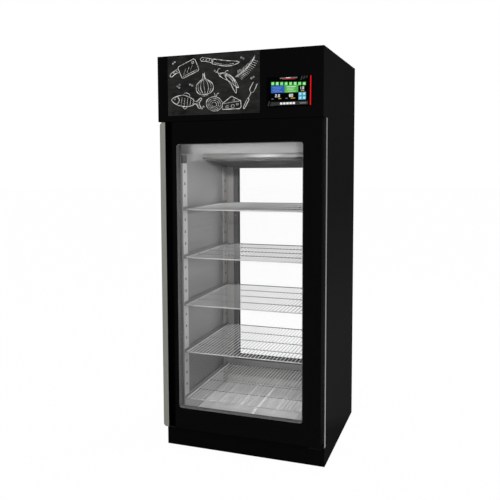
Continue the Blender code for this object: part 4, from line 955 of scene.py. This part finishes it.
floor_lip_y, floor_lip_z, guard_clear = cover_low.y + 0.014, cover_low.z + 0.048, 0.0022
slope = (cover_low.z - floor_lip_z) / (cover_high.y - floor_lip_y)
guard_z = floor_lip_z + slope * (cold_centre.y - floor_lip_y) + guard_clear
guard_seat = Matrix.Translation((0.0, cold_centre.y, guard_z)) @ Matrix.Rotation(math.atan(slope), 4, "X")
guard_wire, guard_inner, guard_reach, guard_rings = 0.0011, 0.014, 0.1005, 12
guard_steel = brushed("guard_wire_steel", 0.15, 0.18, rough=0.5, metal=0.2)
cold_guard = bmesh.new()
add_rings(cold_guard, guard_seat, [guard_inner + ring * (guard_reach - guard_inner) / (guard_rings - 1)
                                   for ring in range(guard_rings)], guard_wire)
add_spokes(cold_guard, Matrix.Translation((0.0, 0.0, 0.0016)) @ guard_seat, 6, 0.26,
           [(0.013, 0.0), (guard_reach, 0.0)], guard_wire, sides=6)
fit("evaporator_fan_guard", cold_guard, guard_steel)

motor_foot = Vector((0.0, cold_centre.y, cold_high.z + 0.002))
arm_reach, arm_half, arm_depth = 0.116, 0.045, 0.012
hanger_half, hanger_top = 0.002, cover_high.z - 0.0005
cold_motor = bmesh.new()
add_turned(cold_motor, [(0.0, 0.0), (0.027, 0.0), (0.030, 0.003), (0.030, 0.034), (0.026, 0.038),
                        (0.0, 0.038)], motor_foot)
for side in (-1, 1):
    for half_x, top, rounding in ((arm_half, motor_foot.z + 0.030, 0.001), (hanger_half, hanger_top, 0.0008)):
        middle_x = side * (arm_reach - half_x)
        add_block(cold_motor, (middle_x - half_x, motor_foot.y - arm_depth / 2, motor_foot.z + 0.026),
                  (middle_x + half_x, motor_foot.y + arm_depth / 2, top), rounding)
fit("evaporator_fan_motor", cold_motor, black_moulding)


# Machine compartment: a hermetic compressor and a fan-cooled condenser stand on a deck over the foam box.
# Copper pipes join them through a filter drier. Rubber grommets under the compressor take up its shake.

enamel = moulded("compressor_enamel", (0.008, 0.008, 0.009), (0.014, 0.014, 0.015), rough=0.35,
                 grain=500.0, depth=0.00006, gloss=0.2)
dress(black_moulding, "fan_shroud", "controller_box")
pump_low, pump_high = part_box("compressor")
pump = Vector(((pump_low.x + pump_high.x) / 2, (pump_low.y + pump_high.y) / 2, pump_low.z))
shell = bmesh.new()
add_turned(shell, [(0.0, 0.022), (0.050, 0.022), (0.066, 0.030), (0.075, 0.046), (0.078, 0.070),
                   (0.078, 0.094), (0.083, 0.095), (0.083, 0.101), (0.078, 0.102), (0.077, 0.148),
                   (0.073, 0.176), (0.062, 0.197), (0.042, 0.211), (0.018, 0.217), (0.0, 0.2175)],
           pump, steps=48)
for low, high, rounding, steps in (
        ((-0.080, -0.068, 0.014), (0.080, 0.068, 0.018), 0.0015, 2),
        ((-0.030, -0.0865, 0.058), (0.030, -0.072, 0.112), 0.004, 3)):
    add_block(shell, pump + Vector(low), pump + Vector(high), rounding, steps)
fit("compressor_shell", shell, enamel, stands_for="compressor")

grommet = [(0.0, 0.0005), (0.012, 0.0005), (0.013, 0.004), (0.009, 0.007), (0.013, 0.010), (0.012, 0.0135),
           (0.0, 0.0135)]
grommets = bmesh.new()
for aside_x in (-0.066, 0.066):
    for aside_y in (-0.054, 0.054):
        add_turned(grommets, grommet, pump + Vector((aside_x, aside_y, 0.0)), steps=20)
fit("compressor_grommets", grommets, rubber)
coil("condenser", "condenser_coil", fin_pitch=0.0050, rows=8, files=3)


def rounded_route(points, radius, steps=5):
    """A path with its corners rounded to a bend radius."""
    points = [Vector(point) for point in points]
    path = [points[0]]
    for before, corner, after in zip(points, points[1:], points[2:]):
        start = corner + (before - corner).normalized() * radius
        end = corner + (after - corner).normalized() * radius
        for share in (step / steps for step in range(steps + 1)):
            path.append(start.lerp(corner, share).lerp(corner.lerp(end, share), share))
    return [*path, points[-1]]


warm_low, warm_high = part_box("condenser_coil")
deck_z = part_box("machine_deck")[1].z + 0.0006
pipe, wide_pipe, thin_pipe = 0.0040, 0.0052, 0.0022
out_y, out_z, riser_x, riser_top = pump.y + 0.01, pump.z + 0.080, -0.085, warm_high.z - 0.050
coil_x, coil_y, coil_z = warm_low.x + 0.010, warm_high.y - 0.010, warm_high.z - 0.017
drier = Vector((-0.150, warm_low.y + 0.011, warm_low.z + 0.060))
liquid_z, thin_x, thin_top = warm_low.z + 0.016, drier.x - 0.030, drier.z + 0.125
back_x, back_y, back_z = pump.x - 0.050, pump.y + 0.140, pump.z + 0.075
pipes = bmesh.new()
for route, bend, radius, pipe_sides in (
        ([(pump.x + 0.070, out_y, out_z), (riser_x, out_y, out_z), (riser_x, out_y, riser_top),
          (riser_x, coil_y, riser_top), (riser_x, coil_y, coil_z), (coil_x, coil_y, coil_z)],
         0.014, pipe, 12),
        ([(coil_x, drier.y, liquid_z), (drier.x, drier.y, liquid_z), drier], 0.010, pipe, 12),
        ([(drier.x, drier.y, drier.z + 0.094), (drier.x, drier.y, thin_top), (thin_x, drier.y, thin_top),
          (thin_x, drier.y, deck_z)], 0.012, thin_pipe, 10),
        ([(back_x, pump.y + 0.052, back_z), (back_x, back_y, back_z), (back_x, back_y, deck_z)],
         0.014, wide_pipe, 12)):
    add_wire(pipes, rounded_route(route, bend), radius, pipe_sides)
add_turned(pipes, [(0.004, 0.0), (0.0115, 0.010), (0.0115, 0.085), (0.004, 0.097), (0.0, 0.097)], drier,
           steps=24)
fit("copper_pipes", pipes, copper)

hot_low, hot_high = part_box("condenser_fan")
shroud_low, shroud_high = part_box("fan_shroud")
hot_x, hot_z = (shroud_low.x + shroud_high.x) / 2, (shroud_low.z + shroud_high.z) / 2
hot_centre = Vector((hot_x, (hot_low.y + hot_high.y) / 2, hot_z))
fan_rotor("condenser_fan_rotor", "condenser_fan", "condenser_rotor", "Y", hot_centre, tip=0.114, hub=0.030)
hot_seat = Matrix.Translation((hot_x, shroud_low.y - 0.0030, hot_z)) @ stood_on["-Y"]
ring_first, ring_pitch, ring_count, ring_wire = 0.026, 0.0125, 9, 0.0010
hot_guard = bmesh.new()
add_rings(hot_guard, hot_seat, [ring_first + ring * ring_pitch for ring in range(ring_count)], ring_wire)
add_spokes(hot_guard, hot_seat, 4, math.pi / 4, [(0.024, 0.0018), (0.127, 0.0018), (0.130, -0.0018)],
           wire=0.0014, sides=8)
fit("condenser_fan_guard", hot_guard, zinc)


# Header board: a matt black panel bonded to the fascia and drawn on by hand with a chalk stick.
# The drawings are kitchen things in chalk line, gone over a second time where a line is firm.

board_finish = Finish("chalkboard_face")
smear = board_finish.cloud(1.0, 3.0, (28.0, 28.0, 70.0))
haze = board_finish.ramp(board_finish.cloud(9.0, 5.0) * 0.6 + smear * 0.4, 0.35, 0.75)
board_finish.surface(board_finish.mix(haze, 0.0090, (0.036, 0.036, 0.034)), (smear, 0.85, 0.95),
                     (board_finish.cloud(1500.0, 1.0), 0.0001, 0.4))
board_low, board_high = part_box("header_board")
chalk_room = 0.0004
board = bmesh.new()
add_block(board, (board_low.x, board_low.y + chalk_room, board_low.z), board_high, 0.0003, 1)
fit("chalkboard_panel", board, board_finish, stands_for="header_board")

chalk_finish = Finish("white_chalk")
grain = chalk_finish.cloud(1.0, 3.0, (650.0, 650.0, 650.0))
laid_on = chalk_finish.ramp(grain * 0.6 + chalk_finish.cloud(60.0, 3.0) * 0.4, 0.40, 0.56)
chalk_finish.surface(chalk_finish.mix(laid_on, (0.16, 0.16, 0.155), (0.90, 0.90, 0.88)),
                     (grain, 0.88, 0.98), (grain, 0.0002, 0.6))


def eased(points, closed, steps=7):
    """A smooth curve through the points."""
    count = len(points)
    path = []
    for number in range(count if closed else count - 1):
        four = [points[place % count if closed else min(max(place, 0), count - 1)]
                for place in range(number - 1, number + 3)]
        for share in (step / steps for step in range(steps)):
            path.append(tuple(0.5 * (2 * near + (far - before) * share
                                     + (2 * before - 5 * near + 4 * far - after) * share * share
                                     + (3 * near - before - 3 * far + after) * share ** 3)
                              for before, near, far, after in zip(*four)))
    return path if closed else [*path, points[-1]]


hand = random.Random(7)
lifts = itertools.cycle(0.00006 + 0.00002 * lift for lift in (1, 2, 3, 4, 5, 6, 0))
chalk_mesh = bmesh.new()


def chalk(points, width=3.0, closed=False, smooth=True, passes=2, place=(0, 0), turn=0.0, scale=1.0):
    """Draws one line in millimetres from the board's lower left corner, as thin raised chalk."""
    cos, sin = math.cos(math.radians(turn)), math.sin(math.radians(turn))
    for again in range(passes):
        shaky = [[part + hand.uniform(-0.8, 0.8) * again for part in point] for point in points]
        path = [((x * cos - z * sin) * scale + place[0], (x * sin + z * cos) * scale + place[1])
                for x, z in (eased(shaky, closed) if smooth else shaky)]
        face_y, back_y = board_low.y + next(lifts), board_low.y + chalk_room - 0.00005
        phase = hand.uniform(0, 6)
        rows = []
        for step, (x, z) in enumerate(path):
            before, after = neighbours(path, step, closed)
            along_x, along_z = after[0] - before[0], after[1] - before[1]
            press = (0.72 + 0.28 * math.sin(phase + step * 0.5)) * (0.8 if again else 1.0)
            half = width * scale ** 0.5 / 2 * press / 1000 / (math.hypot(along_x, along_z) or 1.0)
            at_x, at_z = board_low.x + x / 1000, board_low.z + z / 1000
            rows.append([chalk_mesh.verts.new((at_x - way * along_z * half, y, at_z + way * along_x * half))
                         for way, y in ((-1, back_y), (-1, face_y), (1, face_y), (1, back_y))])
        for first, second in zip(rows, rows[1:] + rows[:1] if closed else rows[1:]):
            skin(chalk_mesh, first, second, closed=False)


def drawing(x, z, turn, scale):
    """The two strokes of one drawing: firm ones, gone over twice, and light ones."""
    firm = partial(chalk, place=(x, z), turn=turn, scale=scale)
    return firm, partial(firm, passes=1)


def oval(x, z, radius_x, radius_z, steps=8, start=0, end=360):
    """Points round an oval, or along a part of it."""
    points = [(x + radius_x * cos, z + radius_z * sin) for cos, sin in turns(start, end, steps)]
    return points[:-1] if end - start == 360 else points


# a cleaver, top left
firm, light = drawing(84, 186, 24, 1.25)
firm([(0, 0), (74, -3), (79, 3), (80, 44), (75, 50), (2, 52), (-2, 46), (-2, 5)], closed=True, smooth=False)
light([(4, 7), (72, 4)], 1.8, smooth=False)
firm(oval(66, 38, 4.5, 4.5, 12), 1.8, closed=True)
firm([(-2, 46), (-20, 44), (-38, 42), (-46, 35), (-42, 28), (-22, 32), (-2, 30)])
for rivet in (-12, -26):
    light(oval(rivet, 38, 2.2, 2.2), 1.5, closed=True)
for hatch in (10, 26, 42):
    light([(hatch, 12), (hatch + 18, 30)], 1.3, smooth=False)

# a trout, bottom left
firm, light = drawing(97, 70, -8, 1.25)
firm([(-62, 0), (-40, 17), (-8, 24), (26, 15), (46, 4), (64, 20), (70, 16), (62, 0), (70, -17), (62, -20),
      (46, -5), (24, -16), (-8, -21), (-40, -15)], closed=True)
firm([(-36, 15), (-28, 4), (-30, -7), (-36, -14)])
light(oval(-48, 4, 2.6, 2.6), 1.8, closed=True)
firm([(-14, 23), (-4, 34), (14, 30), (18, 18)], 2.0)
firm([(-10, -20), (-2, -30), (8, -26), (10, -19)], 2.0)
for row in range(5):
    for column in range(3):
        light(oval(-20 + row * 13, (column - 1) * 10 - (row % 2) * 4, 4, 6, 4, -70, 70), 1.4)
for ray in (-9, 0, 9):
    light([(50, ray * 0.3), (65, ray * 1.4)], 1.3, smooth=False)

# garlic, in the middle
firm, light = drawing(202, 142, 6, 1.38)
firm([(0, 46), (-4, 30), (-16, 20), (-31, 6), (-32, -14), (-20, -27), (0, -30), (20, -27), (33, -14), (31, 6),
      (16, 20), (5, 30), (6, 48)])
for lean in (-1, 1):
    firm([(lean * 2, 28), (lean * 12, 14), (lean * 15, -8), (lean * 8, -26)], 2.0)
    light([(lean * 9, 23), (lean * 23, 8), (lean * 25, -10), (lean * 17, -24)], 1.6)
light([(0, 26), (-2, 4), (0, -26)], 1.6)
for root in range(5):
    light([(-8 + root * 4, -30), (-10 + root * 5, -37)], 1.4, smooth=False)

# a chef's knife along the top
firm, light = drawing(246, 250, -9, 1.18)
firm([(0, 0), (60, -3), (96, 5), (116, 20), (60, 20), (0, 20)])
firm([(0, 20), (0, -1), (-6, 2), (-6, 20), (-52, 22), (-58, 14), (-52, 6), (-30, 8), (-6, 4)], smooth=False)
light([(8, 5), (60, 3), (94, 11)], 1.5)
for rivet in (-16, -30, -44):
    light(oval(rivet, 14, 1.9, 1.9), 1.4, closed=True)

# a rosemary sprig, top right
firm, light = drawing(368, 180, 18, 1.15)
stem = [(0, 0), (24, 4), (50, 12), (78, 26), (104, 46)]
firm(stem)
for leaf in range(13):
    joint, part = divmod(4 * (0.06 + leaf * 0.072), 1)
    (near_x, near_z), (far_x, far_z) = stem[int(joint):int(joint) + 2]
    at_x, at_z = near_x + (far_x - near_x) * part, near_z + (far_z - near_z) * part
    for way in (-1, 1):
        tip = (at_x + 15 - way * 2, at_z + way * (22 - leaf * 0.6))
        light([(at_x, at_z), (at_x + 9, at_z + way * 9), tip], 2.0)

# two chillies, right of the middle
for x, z, turn, scale in ((280, 196, -18, 1.35), (314, 190.9, -42, 1.16)):
    firm, light = drawing(x, z, turn, scale)
    firm([(0, 0), (20, 11), (46, 8), (70, -6), (88, -26), (64, -20), (42, -12), (20, -9)], closed=True)
    firm([(0, 1), (-8, 8), (-8, 18), (-2, 22)], 2.4)
    light([(1, 8), (8, 2), (3, -7)], 1.8)
    light([(18, 4), (40, 2), (62, -9)], 1.5)

# half an onion, bottom middle
firm, light = drawing(254, 52, -12, 1.3)
firm(oval(0, 0, 33, 27, 12), 2.6, closed=True)
for shrink in (0.78, 0.55, 0.32):
    light(oval(0, -3 * (1 - shrink), 33 * shrink, 27 * shrink, 12), 1.7, closed=True)
firm([(-2, 27), (-6, 38), (-10, 42)], 2.0)
firm([(2, 27), (5, 39), (10, 43)], 2.0)

# a carving fork, bottom right
firm, light = drawing(412, 28, 64, 1.25)
firm([(0, -3), (34, -4), (38, 0), (34, 4), (0, 3), (-5, 0)], closed=True)
firm([(38, 0), (62, 0), (72, 9), (104, 9)], 2.4)
firm([(62, 0), (72, -9), (104, -9)], 2.4)

# a cheese wedge, bottom right of the middle
firm, light = drawing(346, 48, 4, 1.36)
firm([(-36, -16), (30, -20), (36, -14), (36, 8), (2, 28), (-36, 4)], closed=True, smooth=False)
firm([(-36, 4), (36, 8)], 2.2, smooth=False)
for hole_x, hole_z, hole in ((-18, -8, 5), (4, -8, 6.5), (22, -3, 4), (10, 14, 3.2)):
    light(oval(hole_x, hole_z, hole, hole * 0.8), 1.6, closed=True)

# peppercorns between the drawings
for place in ((54, 148), (66, 156), (64, 141), (258, 216), (268, 208), (187, 32), (196, 40), (450, 168),
              (461, 174), (30, 264), (40, 271), (124, 154), (136, 148), (398, 272), (409, 266)):
    chalk(oval(0, 0, 3.6, 3.2), 2.0, closed=True, passes=1, place=place)
fit("chalk_drawings", chalk_mesh, chalk_finish, sharp=20.0)


# Touch display: a small screen behind black glass in the fascia.
# Its picture is lit tiles, panels and numbers, laid out in millimetres from the screen's lower left corner.

screen_finish = Finish("screen_glass")
screen_finish.surface(screen_finish.mix(screen_finish.cloud(20.0, 3.0), (0.0008, 0.0008, 0.0009),
                                        (0.0016, 0.0016, 0.0017)),
                      (screen_finish.cloud(40.0), 0.2, 0.3))
screen_low, screen_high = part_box("display_screen")
picture_y = screen_low.y + 0.0004
screen = bmesh.new()
add_block(screen, (screen_low.x, picture_y, screen_low.z), screen_high, 0.0003, 1)
fit("display_glass", screen, screen_finish, stands_for="display_screen")

picture = {}


def show(name, layer, low_x, high_x, low_z, high_z, lean=0.0):
    """Adds one flat shape to the picture, in one of its colours. Higher layers lie in front."""
    mesh = picture.setdefault(name, bmesh.new())
    corners = [(low_x, low_z), (high_x, low_z), (high_x + lean, high_z), (low_x + lean, high_z)]
    front, back = ([mesh.verts.new((screen_low.x + x / 1000, picture_y - lift, screen_low.z + z / 1000))
                    for x, z in corners] for lift in (0.00007 * layer, 0.00001))
    mesh.faces.new(front)
    mesh.faces.new(back[::-1])
    skin(mesh, back, front)


bars_of = {"0": "abcdef", "1": "bc", "2": "abged", "8": "abcdefg", ".": "."}


def number(text, x, z, height):
    """White digits made of seven bars each, with a dot where the text has one."""
    wide, bar, half = height * 0.55, height * 0.17, height / 2
    for sign in text:
        places = {".": (0, bar, 0, bar), "a": (0, wide, height - bar, height), "d": (0, wide, 0, bar),
                  "g": (0, wide, half - bar / 2, half + bar / 2), "f": (0, bar, half, height),
                  "e": (0, bar, 0, half), "b": (wide - bar, wide, half, height),
                  "c": (wide - bar, wide, 0, half)}
        for low_x, high_x, low_z, high_z in (places[name] for name in bars_of[sign]):
            show("white_light", 1, x + low_x, x + high_x, z + low_z, z + high_z)
        x += bar * 2 if sign == "." else wide + bar * 1.3


tile_count, tile_side, tile_pitch, tile_drop, first_tile_x, first_tile_z = 8, 15.2, 22.1, 1.0, 23.2, 106.0
inset = tile_side * 0.26
for tile in range(tile_count):
    x, z = first_tile_x + tile * tile_pitch, first_tile_z - tile * tile_drop
    low_x, high_x, low_z, high_z = x + inset, x + tile_side - inset, z + inset, z + tile_side - inset
    show("tile_green", 1, x, x + tile_side, z, z + tile_side)
    if tile % 4 == 0:
        show("pale_green", 2, low_x, high_x, low_z, high_z)
    elif tile % 4 == 3:
        show("white_light", 2, low_x, high_x, z + inset * 1.6, z + inset * 2.3)
        show("white_light", 2, x + inset * 1.6, x + inset * 2.3, low_z, high_z)
    for bar in range(3):
        if tile % 4 == 1:
            show("white_light", 2, low_x, high_x, z + inset * (0.9 + bar), z + inset * (1.4 + bar))
        elif tile % 4 == 2:
            bar_x = x + inset * (0.9 + bar * 0.85)
            show("pale_green", 2, bar_x, bar_x + inset * 0.5, low_z, z + inset * (1.8 + bar * 0.6))

show("panel_blue", 1, 22.4, 89.1, 68.2, 103.6)
show("panel_green", 1, 89.3, 156.1, 67.5, 103.0)
for row in range(4):
    z, odd, third = 96.5 - row * 7.2, row % 2, row % 3
    show("pale_blue", 2, 29 + 4 * odd, 77 - 6 * third, z - 2.2, z)
    show("pale_green" if row else "white_light", 2, 99 + 3 * odd, 144 - 5 * third, z - 2.6, z - 0.2)
show("yellow_light", 3, 94, 106, 71.5, 74.5)
number("1.8", 163.5, 80.5, 12.5)
show("yellow_light", 1, 170, 186, 72.2, 76.2)
for x in (158.0, 176.7):
    for z in (32.0, 50.3):
        show("button_cyan", 1, x, x + 16.8, z, z + 16.6)
        show("white_light", 2, x + 5.2, x + 11.6, z + 5.0, z + 11.4)
number("2.0", 43.0, 48.0, 13.5)
number("80", 112.0, 46.5, 14.0)
show("yellow_light", 1, 59, 72, 39.2, 43.0)
show("yellow_light", 1, 120, 141, 38.5, 42.5)
show("grey_light", 1, 24, 34, 38.5, 42.0)
show("grey_light", 1, 95, 104, 38.5, 43.0)
show("dim_grey_light", 1, 22, 204, 8.5, 25.0)
for block in range(5):
    show("white_light", 2, 67 + block * 15.5, 79 + block * 15.5, 12.0, 21.5)
show("grey_light", 2, 164, 196, 12.5, 19.5)
show("grey_light", 1, 66, 152, 134.5, 140.0)
show("white_light", 2, 96, 118, 136.2, 139.2)
show("red_light", 1, 78, 143, 130.3, 132.2)
for bar in range(3):
    show("dim_grey_light", 1, 4 + bar * 12.5, 11 + bar * 12.5, 6, 30 - bar * 4, 6)
    show("dim_grey_light", 1, 166 + bar * 12.5, 173 + bar * 12.5, 124 + bar * 4, 143, 6)
show("red_light", 1, 213.0, 218.6, 5, 143, 1.5)

colours = {"tile_green": (0.14, 0.72, 0.13), "panel_green": (0.075, 0.42, 0.075),
           "pale_green": (0.50, 0.86, 0.45), "panel_blue": (0.030, 0.115, 0.44),
           "pale_blue": (0.16, 0.28, 0.62), "button_cyan": (0.13, 0.52, 0.70),
           "white_light": (0.86, 0.88, 0.88), "yellow_light": (0.50, 0.38, 0.03),
           "grey_light": (0.16, 0.16, 0.16), "dim_grey_light": (0.032, 0.032, 0.032),
           "red_light": (0.80, 0.006, 0.010)}
for name, mesh in picture.items():
    light = Finish(name)
    uneven = light.cloud(160.0)
    dim, bright = (tuple(min(part * share, 1.0) for part in colours[name]) for share in (0.88, 1.12))
    light.surface(light.mix(uneven, 0.002, 0.004), light.ramp(uneven, 0.2, 0.8, 0.5, 0.6),
                  glow=(light.mix(uneven, dim, bright), 1.0))
    fit(f"display_{name}", mesh, light, sharp=20.0)
